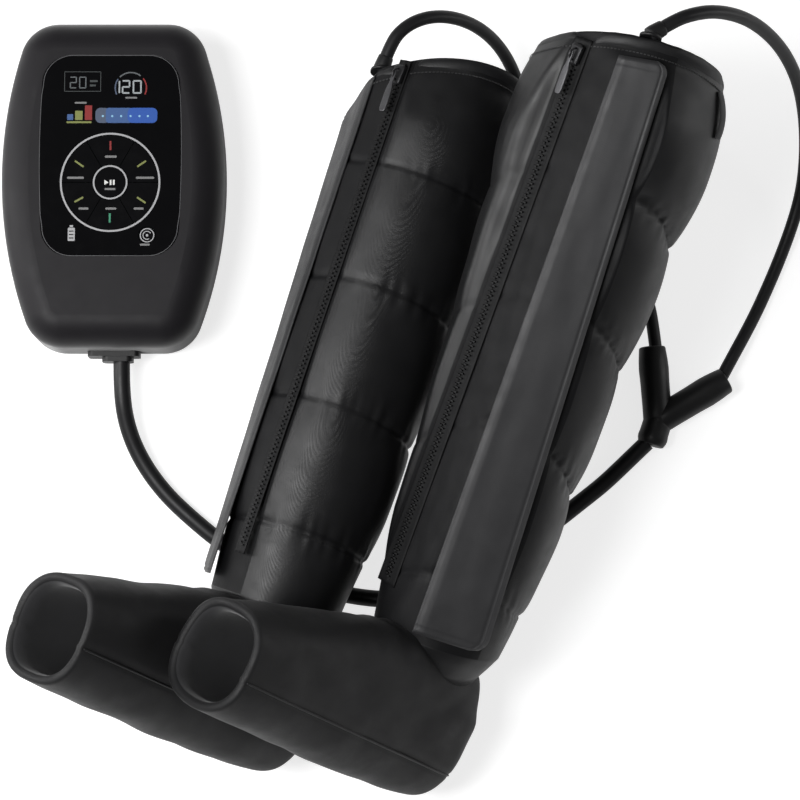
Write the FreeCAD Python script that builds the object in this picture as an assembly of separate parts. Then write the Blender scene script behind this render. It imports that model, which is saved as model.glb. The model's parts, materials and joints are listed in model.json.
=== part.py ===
import FreeCAD, Part
import math
import os
from FreeCAD import Vector

# Compression therapy set: a table pump with a display and a key pad, a hose with a
# Y splitter, and two air-chamber boots lying beside the pump.
# Millimetres, +Z up. The origin is the middle of the pump's rest face, on the
# surface that everything lies on. +Y points from the hose outlet to the pump's top.

# ---- pump case -------------------------------------------------------------------
case_width = 180.0          # across the waist of the barrel shape
case_top_width = 134.0      # where the bulged sides meet the top edge
case_bottom_width = 122.0   # where the bulged sides meet the bottom edge
case_length = 265.0
case_waist_y = 12.0         # the widest place, above the middle
case_back_z = 3.0           # the rubber feet hold the back this high
case_face_z = 73.0          # the display face
case_split_z = 40.0         # the parting plane of the two shells
case_wall = 2.6
case_corner = 32.0
face_round = 24.0
back_round = 8.0
lip_height = 3.0
lip_thickness = 1.2
fit_gap = 0.15

# ---- rubber feet, bosses and screws ------------------------------------------------
foot_radius = 8.0
foot_recess = 1.0
boss_x = 60.0
boss_y = 88.0
boss_radius = 5.5
screw_radius = 1.5
screw_head_radius = 3.2
screw_head_height = 2.4
screw_bite = 12.0           # length of screw in the front shell's boss
screw_gap = 0.05

# ---- display window ----------------------------------------------------------------
window_y = 20.5
window_width = 115.0
window_end_width = 108.0
window_length = 164.0
window_corner = 24.0
lens_thickness = 1.6
lens_ledge = 4.0            # width of the case ledge that carries the lens
carrier_width = 9.0         # of the frame under the ledge that carries the board
lens_gap = 0.15

# ---- key pad -----------------------------------------------------------------------
pad_y = -1.5
pad_radius = 38.2
start_radius = 14.0
key_gap = 0.5
sector_count = 6
key_cap = 2.4
key_stem_radius = 3.0
key_travel = 0.6
mode_key_x = 30.0
mode_key_y = -44.5
mode_key_radius = 6.6
stem_gap = 0.75             # from a key's stem to its switch, more than the travel

# ---- board, display module and switches --------------------------------------------
board_width = 98.0
board_length = 146.0
board_thickness = 1.6
board_top_z = 60.0
board_post_radius = 3.5
board_post_x = 45.5
board_post_y = 66.0
switch_radius = 4.0
switch_height = 2.2
lcd_width = 82.0
lcd_length = 50.0
lcd_y = 70.5
lcd_gap = 0.3               # below the lens

# ---- air works ---------------------------------------------------------------------
motor_radius = 14.0
motor_length = 42.0
head_width = 38.0
head_length = 28.0
head_height = 32.0
pump_spacing = 50.0
pump_head_y = -20.0
manifold_width = 96.0
manifold_length = 20.0
manifold_height = 22.0
manifold_y = -82.0
valve_radius = 6.0
valve_height = 9.0
valve_count = 6
tube_radius = 2.6
outlet_tube_pitch = 7.2
battery_width = 102.0
battery_length = 46.0
battery_height = 21.0
battery_end_gap = 25.5      # from the case's top end, clear of the charge port
port_x = -30.0
port_width = 13.0
port_height = 8.0
port_depth = 14.0
port_z = 24.0

# ---- outlet, plug and hoses --------------------------------------------------------
outlet_z = 23.0
outlet_width = 42.0
outlet_height = 21.0
outlet_stand = 4.5
outlet_corner = 4.0
plug_width = 25.0
plug_height = 18.0
plug_length = 4.0
plug_corner = 5.0
plug_x = 3.0
outlet_flange = 2.0
main_radius = 6.8
branch_radius = 5.2
splitter_radius = 12.0
hose_offset = 3.0           # the hose leaves the plug off its middle

# ---- boot: leg sleeve --------------------------------------------------------------
cover_thickness = 1.2
lining_thickness = 1.2
layer_gap = 0.4
tape_gap = 0.2
chain_gap = 0.8
seam_gap = 2.5
rim_radius = 68.0
seam_radii = (57.0, 63.0, 67.0, 71.0)
ankle_radius = 52.0
tuck_radius = 41.0          # the sleeve's lower end, inside the foot
tuck_depth = 30.0
lining_rim_radius = 62.0
lining_seam_radius = 46.5
lining_ankle_radius = 43.0
lining_tuck_radius = 36.0
rim_spare = 24.0
binding_height = 8.0
binding_stand = 1.6
slit_width = 4.0

# ---- boot: flap, zip and trim ------------------------------------------------------
front_radii = (71.0, 62.0)  # of the lines beside the zip and under the flap's root
free_radii = (76.0, 65.0)   # of the line under the flap's free edge
facet_depth = 90.0
flap_gap = 0.6
flap_thickness = 3.0
flap_lower_u = 10.0
recess_margin = 3.0         # degrees, beyond the flap's free edge
panel_margin = 1.5          # degrees, from the flat faces' outer edges to the panel's seams
panel_core = 20.0           # radius that the panel's cutting wedge starts from
tape_thickness = 1.0
tape_tail = 6.0             # below the chain's lower end
tape_upper_drop = 2.0       # from the sleeve's nominal top
zip_share = 0.25            # where the zip lies across the sleeve's flat front
tape_share = 0.17           # half the tape's width, as a share of the flat front
chain_width = 6.0
chain_height = 2.2
chain_lower_u = 38.0
chain_upper_drop = 5.0
slider_length = 16.0
slider_width = 11.0
slider_wall = 1.3
slider_gap = 0.35
slider_lift = 0.7             # above the chain's foot, clear of the twisting tape
slider_drop = 2.0           # from the chain's upper end to the slider
pull_length = 32.0
pull_width = 6.5
pull_thickness = 1.6
pull_pin_radius = 0.9
pull_eye_radius = 2.2
pin_rise = 2.8
ear_gap = 3.4
ear_thickness = 1.4
loop_angle = 112.0
loop_width = 13.0
loop_thickness = 3.0
loop_length = 34.0
loop_drop = 30.0            # from the rim to the tab's middle
nozzle_radius = 6.6
nozzle_length = 11.0
flange_radius = 8.5
flange_thickness = 3.0

# ---- boot: foot --------------------------------------------------------------------
foot_wall = 9.0
foot_sole_wall = 8.0
toe_reach = 216.0
heel_reach = 60.0
sole_depth = 122.0
seam_heel_height = 14.0
seam_toe_height = 40.0
seam_cut_gap = 0.1
trim_gap = 0.3

# Each boot: where its ankle centre is, which way its sleeve points in plan and how
# steeply, the roll of the toes above the floor, the pitch of the foot, the sleeve's
# length, its first seam and the pitch of the chambers, the chambers' radii from ankle
# to rim, the rim's slant, the side it rises to and how far its middle lies below the
# sleeve's length, the angles round the sleeve (top, bottom) of the zip, the flap's root
# and the flap's free edge, the flap's distance from the rim, and the port's angle and
# its nozzle's lean.
boots = {
    "left": dict(side=-1, ankle=(132.0, -342.0, 69.0), yaw=18.5, rise=1.1, roll=50.0,
                 pitch=3.0, length=440.0, first_seam=56.0, chamber=97.0,
                 lobes=(63.5, 67.0, 71.0, 75.0), rim=(24.0, -77.0, 14.0),
                 zip=(-10.0, -4.0), root=(10.0, 18.0), free=(68.0, 72.0),
                 flap_drop=4.0, port=(14.0, -27.0)),
    "right": dict(side=1, ankle=(261.0, -365.0, 73.5), yaw=19.2, rise=13.5, roll=49.0,
                  pitch=12.0, length=482.0, first_seam=37.0, chamber=103.4,
                  lobes=(65.0, 69.5, 75.0, 83.0), rim=(18.0, 60.0, 8.0),
                  zip=(4.0, -27.0), root=(30.0, 23.0), free=(60.0, 79.0),
                  flap_drop=17.0, port=(45.0, 43.0)),
}

# ---- routes of the free hoses, chosen by hand --------------------------------------
# The main hose starts square to the plug's face. The branches start at the boots'
# ports, and each of the three ends in an arm of the splitter.
splitter_centre = (443.0, -187.5, 12.0)
splitter_ends = [(436.7, -207.5, 12.0), (438.7, -127.1, 12.0), (498.9, -154.2, 12.0)]
plug_lead = 25.0            # straight run of hose out of the plug
port_lead = 13.0            # straight run of hose out of a boot's port
main_route = [
    (10.5, -195.0, 14.5),
    (22.5, -222.0, 8.4),
    (41.0, -247.0, 7.0),
    (63.5, -268.0, 7.2),
    (88.0, -288.0, 7.0),
    (119.0, -306.0, 7.2),
    (153.0, -320.0, 7.0),
    (189.0, -330.0, 7.2),
    (226.0, -334.0, 7.0),
    (263.0, -328.0, 7.2),
    (299.0, -312.0, 7.0),
    (330.0, -291.5, 7.2),
    (358.0, -271.0, 7.0),
    (382.5, -251.7, 7.1),
    (398.5, -239.1, 7.4),
    (413.2, -225.3, 8.8),
    (424.1, -214.8, 11.0),
    (433.9, -205.5, 12.0),
]
branch_routes = {
    "left": [
        (234.5, 113.5, 116.1),
        (245.1, 120.9, 113.0),
        (257.5, 125.9, 106.5),
        (271.0, 128.3, 96.5),
        (284.7, 128.0, 83.3),
        (297.8, 124.9, 68.1),
        (309.6, 118.7, 52.0),
        (319.4, 109.3, 36.5),
        (326.9, 97.2, 23.5),
        (332.6, 82.1, 14.0),
        (336.8, 64.0, 8.2),
        (341.6, 42.8, 5.4),
        (350.8, 22.8, 5.4),
        (368.0, -0.5, 5.4),
        (388.5, -21.5, 5.4),
        (408.0, -42.5, 5.5),
        (424.5, -62.5, 6.2),
        (434.5, -83.5, 8.2),
        (439.3, -104.0, 10.6),
        (441.9, -130.5, 12.0),
    ],
    "right": [
        (451.3, 94.6, 244.8),
        (464.6, 98.8, 236.3),
        (478.8, 101.0, 223.2),
        (493.6, 101.3, 206.2),
        (507.8, 99.3, 186.3),
        (521.3, 94.7, 164.5),
        (533.3, 88.1, 141.5),
        (543.4, 79.3, 118.0),
        (551.5, 68.6, 95.0),
        (557.3, 55.7, 73.0),
        (561.1, 40.9, 53.0),
        (562.9, 24.4, 36.0),
        (562.5, 6.2, 22.6),
        (559.2, -12.1, 13.2),
        (552.7, -32.9, 8.0),
        (544.1, -55.4, 5.9),
        (534.6, -77.4, 5.5),
        (524.4, -99.1, 6.3),
        (513.6, -119.2, 8.8),
        (503.7, -136.8, 11.2),
        (494.4, -153.8, 12.0),
    ],
}


# ====================================================================================
# helpers
# ====================================================================================
os.makedirs("parts", exist_ok=True)


def export(name, shape):
    """Write one node."""
    shape.exportStep("parts/" + name + ".step")


def box(x0, x1, y0, y1, z0, z1):
    return Part.makeBox(x1 - x0, y1 - y0, z1 - z0, Vector(x0, y0, z0))


def rod(radius, base, direction, length):
    return Part.makeCylinder(radius, length, Vector(*base), Vector(*direction))


def group(solids):
    """Several separate solids in one node."""
    return Part.makeCompound(solids)


def fuse(solids):
    return solids[0].multiFuse(solids[1:]).removeSplitter()


def barrel_face(width, top_width, bottom_width, length, waist_y, z):
    """A face with bulged sides, a straight top and a straight bottom."""
    top_right = Vector(top_width / 2, length / 2, z)
    low_right = Vector(bottom_width / 2, -length / 2, z)
    top_left = Vector(-top_width / 2, length / 2, z)
    low_left = Vector(-bottom_width / 2, -length / 2, z)
    edges = [
        Part.Arc(low_right, Vector(width / 2, waist_y, z), top_right).toShape(),
        Part.LineSegment(top_right, top_left).toShape(),
        Part.Arc(top_left, Vector(-width / 2, waist_y, z), low_left).toShape(),
        Part.LineSegment(low_left, low_right).toShape(),
    ]
    return Part.Face(Part.Wire(edges))


def upright_edges(solid, height):
    """Edges of an extrusion that run its full height."""
    found = []
    for edge in solid.Edges:
        bounds = edge.BoundBox
        if bounds.ZLength > height - 0.01 and bounds.XLength < 0.01 and bounds.YLength < 0.01:
            found.append(edge)
    return found


def barrel(inset, z0, z1, face_radius=0.0, back_radius=0.0):
    """The case's outer form, moved inwards by inset."""
    face = barrel_face(case_width - 2 * inset, case_top_width - 2 * inset,
                       case_bottom_width - 2 * inset, case_length - 2 * inset,
                       case_waist_y, z0)
    solid = face.extrude(Vector(0, 0, z1 - z0))
    solid = solid.makeFillet(case_corner - inset, upright_edges(solid, z1 - z0))
    for radius, level in ((face_radius, z1), (back_radius, z0)):
        if radius > 0:
            rim = [e for e in solid.Edges
                   if abs(e.BoundBox.ZMin - level) < 0.01 and abs(e.BoundBox.ZMax - level) < 0.01]
            solid = solid.makeFillet(radius, rim)
    return solid


def window_solid(inset, z0, z1):
    """The display window's form, moved inwards by inset."""
    face = barrel_face(window_width - 2 * inset, window_end_width - 2 * inset,
                       window_end_width - 2 * inset, window_length - 2 * inset, 0.0, z0)
    solid = face.extrude(Vector(0, 0, z1 - z0))
    solid = solid.makeFillet(window_corner - inset, upright_edges(solid, z1 - z0))
    solid.translate(Vector(0, window_y, 0))
    return solid


def tube(route, radius, label):
    """A hose: straight runs joined by tangent arcs, as large as the runs allow."""
    points = [Vector(*p) for p in route]
    edges = []
    start = points[0]
    radii = []
    for before, corner, after in zip(points, points[1:], points[2:]):
        way_in = (corner - before).normalize()
        way_out = (after - corner).normalize()
        turn = way_in.getAngle(way_out)
        reach = 0.45 * min(corner.distanceToPoint(before), corner.distanceToPoint(after))
        arc_radius = reach / math.tan(turn / 2)
        radii.append(arc_radius)
        arc_start = corner - way_in * reach
        arc_end = corner + way_out * reach
        to_centre = (way_out - way_in).normalize()
        centre = corner + to_centre * (arc_radius / math.cos(turn / 2))
        middle = centre - to_centre * arc_radius
        edges.append(Part.LineSegment(start, arc_start).toShape())
        edges.append(Part.Arc(arc_start, middle, arc_end).toShape())
        start = arc_end
    edges.append(Part.LineSegment(start, points[-1]).toShape())
    path = Part.Wire(edges)
    section = Part.Wire([Part.makeCircle(radius, points[0], (points[1] - points[0]).normalize())])
    hose = path.makePipeShell([section], True, False)
    volume = math.pi * radius ** 2 * path.Length
    print(label, "length %.0f" % path.Length, "smallest radius %.0f" % min(radii),
          "volume ratio %.4f" % (hose.Volume / volume), "valid", hose.isValid())
    return hose


# ====================================================================================
# pump
# ====================================================================================
def window_hole(inset):
    return window_solid(inset, case_face_z - 10 * lens_thickness, case_face_z + 1)


def boss_places():
    return [(sx * boss_x, sy * boss_y) for sx in (-1, 1) for sy in (-1, 1)]


def feet_places():
    """One foot over each screw, and one under the key pad, where the pump is pressed."""
    return boss_places() + [(0.0, 0.0)]


def outlet_hole():
    """The hole in the bottom wall that the outlet socket fills."""
    half = outlet_width / 2 - outlet_flange
    high = outlet_height / 2 - outlet_flange
    return box(-half, half, -case_length / 2 - 1, -case_length / 2 + 3 * case_wall,
               outlet_z - high, outlet_z + high)


def port_hole():
    return box(port_x - port_width / 2, port_x + port_width / 2, case_length / 2 - 3 * case_wall,
               case_length / 2 + 1, port_z - port_height / 2, port_z + port_height / 2)


def case_shell():
    outer = barrel(0.0, case_back_z, case_face_z, face_round, back_round)
    inner = barrel(case_wall, case_back_z + case_wall, case_face_z - case_wall,
                   face_round - case_wall, back_round - case_wall)
    return outer.cut(inner)


def make_front_case(shell):
    upper = box(-case_width, case_width, -case_length, case_length, case_split_z, case_face_z + 1)
    front = shell.common(upper)
    front = front.cut(window_solid(0.0, case_face_z - lens_thickness, case_face_z + 1))
    front = front.cut(window_hole(lens_ledge))
    posts = []
    for x, y in boss_places():
        post = rod(boss_radius, (x, y, case_split_z), (0, 0, 1), case_face_z - case_wall - case_split_z)
        pilot = rod(screw_radius + screw_gap, (x, y, case_split_z - 1), (0, 0, 1), screw_bite + 2)
        posts.append(post.common(barrel(case_wall / 2, case_back_z, case_face_z - case_wall / 2,
                                        face_round)).cut(pilot))
    for sx in (-1, 1):
        for sy in (-1, 1):
            posts.append(rod(board_post_radius, (sx * board_post_x, window_y + sy * board_post_y,
                                                 board_top_z), (0, 0, 1),
                             case_face_z - lens_thickness - board_top_z - 0.2))
    carrier = window_solid(lens_ledge, case_face_z - lens_thickness - 2.0,
                           case_face_z - lens_thickness - 0.2)
    carrier = carrier.cut(window_solid(lens_ledge + carrier_width, 0, case_face_z))
    carrier = carrier.cut(lcd_space())
    carrier = carrier.cut(rod(mode_key_radius + key_gap, (mode_key_x, mode_key_y, board_top_z),
                              (0, 0, 1), case_face_z - board_top_z))
    return fuse([front] + posts + [carrier])


def lcd_space():
    return box(-lcd_width / 2 - lcd_gap, lcd_width / 2 + lcd_gap, lcd_y - lcd_length / 2 - lcd_gap,
               lcd_y + lcd_length / 2 + lcd_gap, board_top_z, case_face_z)


def make_rear_case(shell):
    lower = box(-case_width, case_width, -case_length, case_length, 0, case_split_z)
    rear = shell.common(lower)
    lip_inset = case_wall + fit_gap
    lip_base = case_split_z - 2 * lip_height
    lip_top = case_split_z + lip_height
    lip = barrel(lip_inset, lip_base, lip_top).cut(
        barrel(lip_inset + lip_thickness, lip_base - 1, lip_top + 1))
    shelf = barrel(case_wall / 2, lip_base, case_split_z - lip_height).cut(
        barrel(lip_inset + lip_thickness, lip_base - 1, case_split_z))
    bosses = []
    for x, y in boss_places():
        boss = rod(boss_radius, (x, y, case_back_z + case_wall / 2), (0, 0, 1),
                   case_split_z - case_back_z - case_wall / 2 - fit_gap)
        bosses.append(boss)
    rear = fuse([rear, lip, shelf] + bosses)
    for x, y in boss_places():
        rear = rear.cut(rod(screw_radius + 3 * screw_gap, (x, y, 0), (0, 0, 1), case_split_z))
        rear = rear.cut(rod(screw_head_radius + fit_gap, (x, y, 0), (0, 0, 1),
                            case_back_z + foot_recess + screw_head_height))
    for x, y in feet_places():
        rear = rear.cut(rod(foot_radius + fit_gap, (x, y, 0), (0, 0, 1),
                            case_back_z + foot_recess))
    return rear.cut(outlet_hole()).cut(port_hole())


def make_feet():
    """Glued in shallow recesses of the back, four of them over the screws."""
    return group([rod(foot_radius, (x, y, 0), (0, 0, 1), case_back_z + foot_recess)
                  for x, y in feet_places()])


def make_screws():
    screws = []
    base = case_back_z + foot_recess
    for x, y in boss_places():
        head = rod(screw_head_radius, (x, y, base), (0, 0, 1), screw_head_height)
        shaft = rod(screw_radius, (x, y, base), (0, 0, 1), case_split_z + screw_bite - base)
        screws.append(fuse([head, shaft]))
    return group(screws)


def make_lens():
    lens = window_solid(lens_gap, case_face_z - lens_thickness, case_face_z)
    pad = rod(pad_radius + key_gap, (0, pad_y, case_face_z - 2 * lens_thickness), (0, 0, 1),
              3 * lens_thickness)
    mode = rod(mode_key_radius + key_gap, (mode_key_x, mode_key_y, case_face_z - 2 * lens_thickness),
               (0, 0, 1), 3 * lens_thickness)
    return lens.cut(pad).cut(mode)


def stem(x, y):
    foot_z = board_top_z + switch_height + stem_gap
    return rod(key_stem_radius, (x, y, foot_z), (0, 0, 1), case_face_z - key_cap / 2 - foot_z)


def sector_angle(index):
    """Key 0 is at the top and the others follow clockwise."""
    return math.radians(90.0 - index * 360.0 / sector_count)


def sector_stem(index):
    middle = (start_radius + pad_radius) / 2
    angle = sector_angle(index)
    return middle * math.cos(angle), pad_y + middle * math.sin(angle)


def make_sector_key(index):
    inner = start_radius + key_gap
    base = case_face_z - key_cap
    ring = rod(pad_radius, (0, pad_y, base), (0, 0, 1), key_cap)
    ring = ring.cut(rod(inner, (0, pad_y, base - 1), (0, 0, 1), key_cap + 2))
    angle = sector_angle(index)
    half = math.pi / sector_count
    for sign in (-1, 1):
        side = angle + sign * half
        outward = Vector(-math.sin(side) * sign, math.cos(side) * sign, 0)
        wall = Part.makeBox(4 * pad_radius, 2 * pad_radius, 4 * key_cap,
                            Vector(-2 * pad_radius, -key_gap / 2, -2 * key_cap))
        turn = math.degrees(math.atan2(outward.y, outward.x)) - 90.0
        wall.rotate(Vector(0, 0, 0), Vector(0, 0, 1), turn)
        wall.translate(Vector(0, pad_y, case_face_z))
        ring = ring.cut(wall)
    x, y = sector_stem(index)
    return fuse([ring, stem(x, y)])


def make_round_key(x, y, radius):
    cap = rod(radius, (x, y, case_face_z - key_cap), (0, 0, 1), key_cap)
    return fuse([cap, stem(x, y)])


def key_places():
    places = [sector_stem(i) for i in range(sector_count)]
    return places + [(0.0, pad_y), (mode_key_x, mode_key_y)]


def make_board():
    board = box(-board_width / 2, board_width / 2, window_y - board_length / 2,
                window_y + board_length / 2, board_top_z - board_thickness, board_top_z)
    return board


def make_switches():
    switches = []
    for x, y in key_places():
        base = rod(switch_radius, (x, y, board_top_z), (0, 0, 1), switch_height * 0.7)
        dome = rod(switch_radius * 0.6, (x, y, board_top_z), (0, 0, 1), switch_height)
        switches.append(fuse([base, dome]))
    return group(switches)


def make_lcd():
    top = case_face_z - lens_thickness - lcd_gap
    return box(-lcd_width / 2, lcd_width / 2, lcd_y - lcd_length / 2, lcd_y + lcd_length / 2,
               board_top_z, top)


def make_air_pumps():
    floor = case_back_z + case_wall
    units = []
    for side in (-1, 1):
        x = side * pump_spacing / 2
        head = box(x - head_width / 2, x + head_width / 2, pump_head_y - head_length / 2,
                   pump_head_y + head_length / 2, floor, floor + head_height)
        motor = rod(motor_radius, (x, pump_head_y, floor + head_height / 2), (0, 1, 0),
                    head_length / 2 + motor_length)
        units.append(fuse([head, motor]))
    return group(units)


def make_manifold():
    floor = case_back_z + case_wall
    return box(-manifold_width / 2, manifold_width / 2, manifold_y - manifold_length / 2,
               manifold_y + manifold_length / 2, floor, floor + manifold_height)


def valve_x(index):
    return (index - (valve_count - 1) / 2) * manifold_width / valve_count


def make_valves():
    top = case_back_z + case_wall + manifold_height
    return group([rod(valve_radius, (valve_x(i), manifold_y, top), (0, 0, 1), valve_height)
                  for i in range(valve_count)])


def make_inner_tubes():
    """Feed tubes from the two pump heads, and outlet tubes to the socket."""
    centre_z = case_back_z + case_wall + manifold_height / 2
    feed_start = manifold_y + manifold_length / 2
    feed_end = pump_head_y - head_length / 2
    outlet_start = -case_length / 2 + case_wall + outlet_stand
    outlet_end = manifold_y - manifold_length / 2
    tubes = []
    for side in (-1, 1):
        tubes.append(rod(tube_radius, (side * pump_spacing / 2, feed_start, centre_z), (0, 1, 0),
                         feed_end - feed_start))
        for index in range(2):
            x = side * (outlet_tube_pitch / 2 + index * outlet_tube_pitch)
            tubes.append(rod(tube_radius, (x, outlet_start, centre_z), (0, 1, 0),
                             outlet_end - outlet_start))
    return group(tubes)


def make_battery():
    floor = case_back_z + case_wall
    end = case_length / 2 - battery_end_gap
    return box(-battery_width / 2, battery_width / 2, end - battery_length, end,
               floor, floor + battery_height)


def make_charge_port():
    body = box(port_x - port_width / 2 + fit_gap, port_x + port_width / 2 - fit_gap,
               case_length / 2 - port_depth, case_length / 2 - fit_gap,
               port_z - port_height / 2 + fit_gap, port_z + port_height / 2 - fit_gap)
    socket = rod(port_height / 4, (port_x, case_length / 2 + 1, port_z), (0, -1, 0), port_depth - 3)
    return body.cut(socket)


def make_outlet():
    half = outlet_width / 2 - outlet_flange - fit_gap
    high = outlet_height / 2 - outlet_flange - fit_gap
    body = box(-half, half, -case_length / 2 - 0.5, -case_length / 2 + case_wall + outlet_stand,
               outlet_z - high, outlet_z + high)
    plate = box(-outlet_width / 2, outlet_width / 2, -case_length / 2 - outlet_stand,
                -case_length / 2 - fit_gap, outlet_z - outlet_height / 2,
                outlet_z + outlet_height / 2)
    corners = [e for e in plate.Edges if e.BoundBox.YLength > outlet_stand - 1]
    plate = plate.makeFillet(outlet_corner, corners)
    return fuse([body, plate])


def make_plug():
    front = -case_length / 2 - outlet_stand
    body = box(plug_x - plug_width / 2, plug_x + plug_width / 2, front - plug_length, front,
               outlet_z - plug_height / 2, outlet_z + plug_height / 2)
    corners = [e for e in body.Edges if e.BoundBox.YLength > plug_length - 1]
    return body.makeFillet(plug_corner, corners)


def build_pump():
    shell = case_shell()
    export("front_case", make_front_case(shell))
    export("rear_case", make_rear_case(shell))
    export("rubber_feet", make_feet())
    export("case_screws", make_screws())
    export("display_lens", make_lens())
    names = ("key_top", "key_upper_right", "key_lower_right", "key_bottom", "key_lower_left",
             "key_upper_left")
    for index, name in enumerate(names):
        export(name, make_sector_key(index))
    export("key_start", make_round_key(0.0, pad_y, start_radius))
    export("key_mode", make_round_key(mode_key_x, mode_key_y, mode_key_radius))
    export("control_board", make_board())
    export("dome_switches", make_switches())
    export("lcd_panel", make_lcd())
    export("air_pumps", make_air_pumps())
    export("valve_manifold", make_manifold())
    export("solenoid_valves", make_valves())
    export("inner_tubes", make_inner_tubes())
    export("battery_pack", make_battery())
    export("charge_port", make_charge_port())
    export("outlet_socket", make_outlet())
    export("hose_plug", make_plug())


build_pump()


# ====================================================================================
# boots: each is built upright round its sleeve's axis (x to the toes, z to the rim)
# and then laid down by boot_placement
# ====================================================================================
def polar(angle, radius, side):
    """A point round the sleeve: 0 degrees is the shin, 90 the outer side."""
    turn = math.radians(angle)
    return Vector(radius * math.cos(turn), side * radius * math.sin(turn), 0)


def boot_placement(boot):
    yaw = math.radians(boot["yaw"])
    rise = math.radians(boot["rise"])
    roll = math.radians(boot["roll"])
    along = Vector(math.sin(yaw) * math.cos(rise), math.cos(yaw) * math.cos(rise), math.sin(rise))
    across = Vector(-math.cos(yaw), math.sin(yaw), 0)
    upward = along.cross(across)
    toes = across * math.cos(roll) + upward * math.sin(roll)
    sideways = along.cross(toes)
    matrix = FreeCAD.Matrix(toes.x, sideways.x, along.x, boot["ankle"][0],
                            toes.y, sideways.y, along.y, boot["ankle"][1],
                            toes.z, sideways.z, along.z, boot["ankle"][2],
                            0, 0, 0, 1)
    return FreeCAD.Placement(matrix)


def edge_point(boot, angles, radii, u):
    """A point, at height u, of a straight line that runs down the sleeve."""
    top = polar(angles[0], radii[0], boot["side"])
    bottom = polar(angles[1], radii[1], boot["side"])
    point = bottom + (top - bottom) * (u / boot["length"])
    return Vector(point.x, point.y, u)


def rim_high_side(boot):
    return polar(boot["rim"][1], 1.0, boot["side"])


def rim_normal(boot):
    tilt = math.radians(boot["rim"][0])
    return rim_high_side(boot) * -math.sin(tilt) + Vector(0, 0, math.cos(tilt))


def rim_level(boot, point):
    """Height of the sleeve's slanted top edge over a point in plan."""
    tilt, _, rim_drop = boot["rim"]
    slant = point.dot(rim_high_side(boot)) * math.tan(math.radians(tilt))
    return boot["length"] - rim_drop + slant


def above_rim(boot, drop):
    """Everything above the sleeve's slanted top edge, lowered by drop."""
    size = 600.0
    block = Part.makeBox(size, size, size, Vector(-size / 2, -size / 2, 0))
    tilt, toward, rim_drop = boot["rim"]
    block.rotate(Vector(0, 0, 0), Vector(0, 1, 0), -tilt)
    block.rotate(Vector(0, 0, 0), Vector(0, 0, 1), boot["side"] * toward)
    block.translate(Vector(0, 0, boot["length"] - rim_drop - drop))
    return block


def seams(boot):
    return [boot["first_seam"] + i * boot["chamber"] for i in range(len(seam_radii))]


def revolve(points_and_arcs):
    """Revolve a profile of (r, u) points; a triple with a middle point is an arc."""
    edges = []
    for item in points_and_arcs:
        ends = [Vector(r, 0, u) for r, u in item]
        if len(ends) == 3:
            edges.append(Part.Arc(*ends).toShape())
        else:
            edges.append(Part.LineSegment(*ends).toShape())
    face = Part.Face(Part.Wire(edges))
    return face.revolve(Vector(0, 0, 0), Vector(0, 0, 1), 360)


def lobed_solid(boot, inset):
    """The sleeve's outer form: one swelling between each two seams."""
    heights = seams(boot)
    top = boot["length"]
    low = (tuck_radius - inset, -tuck_depth)
    ankle = (ankle_radius - inset, 0.0)
    spans = [((0.0, -tuck_depth), low), (low, ankle)]
    rims = list(zip(seam_radii, heights)) + [(rim_radius, top)]
    start = ankle
    spans.append((start, (seam_radii[0] - inset, heights[0])))
    for (r0, u0), (r1, u1), lobe in zip(rims, rims[1:], boot["lobes"]):
        spans.append(((r0 - inset, u0), (lobe - inset, (u0 + u1) / 2), (r1 - inset, u1)))
    peak = (rim_radius - inset, top + rim_spare)
    spans.append(((rim_radius - inset, top), peak))
    spans.append((peak, (0.0, top + rim_spare)))
    spans.append(((0.0, top + rim_spare), (0.0, -tuck_depth)))
    return revolve(spans)


def lining_solid(boot, inset):
    """The straight inner tube, a plain taper from rim to ankle."""
    top = boot["length"]
    seam = boot["first_seam"]
    corners = [(0.0, -tuck_depth - 1.0 * (inset > 0)),
               (lining_tuck_radius - inset, -tuck_depth - 1.0 * (inset > 0)),
               (lining_ankle_radius - inset, 0.0), (lining_seam_radius - inset, seam),
               (lining_rim_radius - inset, top), (lining_rim_radius - inset, top + rim_spare),
               (0.0, top + rim_spare)]
    return revolve(list(zip(corners, corners[1:] + corners[:1])))


def bed_angles(boot):
    """The flat front of the sleeve starts beside the zip, on the inner side."""
    spread = zip_share / (1 - zip_share)
    return tuple(z - spread * (root - z) for z, root in zip(boot["zip"], boot["root"]))


def section_points(boot, edges, u):
    return [edge_point(boot, angles, radii, u) for angles, radii in edges]


def loft(low_points, high_points):
    wires = [Part.makePolygon(points + points[:1]) for points in (low_points, high_points)]
    return Part.makeLoft(wires, True, True)


def front_cutter(boot, inset):
    """All that lies outside the two flat faces under the zip and under the flap."""
    shift = tuple(radius - inset for radius in front_radii)
    free = tuple(radius - inset for radius in free_radii)
    far = (facet_depth + front_radii[0], facet_depth + front_radii[1])
    free_angles = tuple(angle + recess_margin for angle in boot["free"])
    ring = [(bed_angles(boot), shift), (boot["root"], shift), (free_angles, free),
            (free_angles, far), (boot["root"], far), (bed_angles(boot), far)]
    low = -tuck_depth - 5
    high = boot["length"] + rim_spare + 5
    return loft(section_points(boot, ring, low), section_points(boot, ring, high))


def slab(boot, first, second, near, far, low, high):
    """A strip between two lines down the sleeve, from near to far off the surface."""
    sections = []
    for u in (low, high):
        a = edge_point(boot, first[0], first[1], u)
        b = edge_point(boot, second[0], second[1], u)
        out = (b - a).cross(Vector(0, 0, 1)).normalize()
        if out.dot(a + b) < 0:
            out = out * -1
        sections.append([a + out * near, b + out * near, b + out * far, a + out * far])
    return loft(sections[0], sections[1])


def sleeve(boot, inset):
    return lobed_solid(boot, inset).cut(front_cutter(boot, inset))


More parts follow.
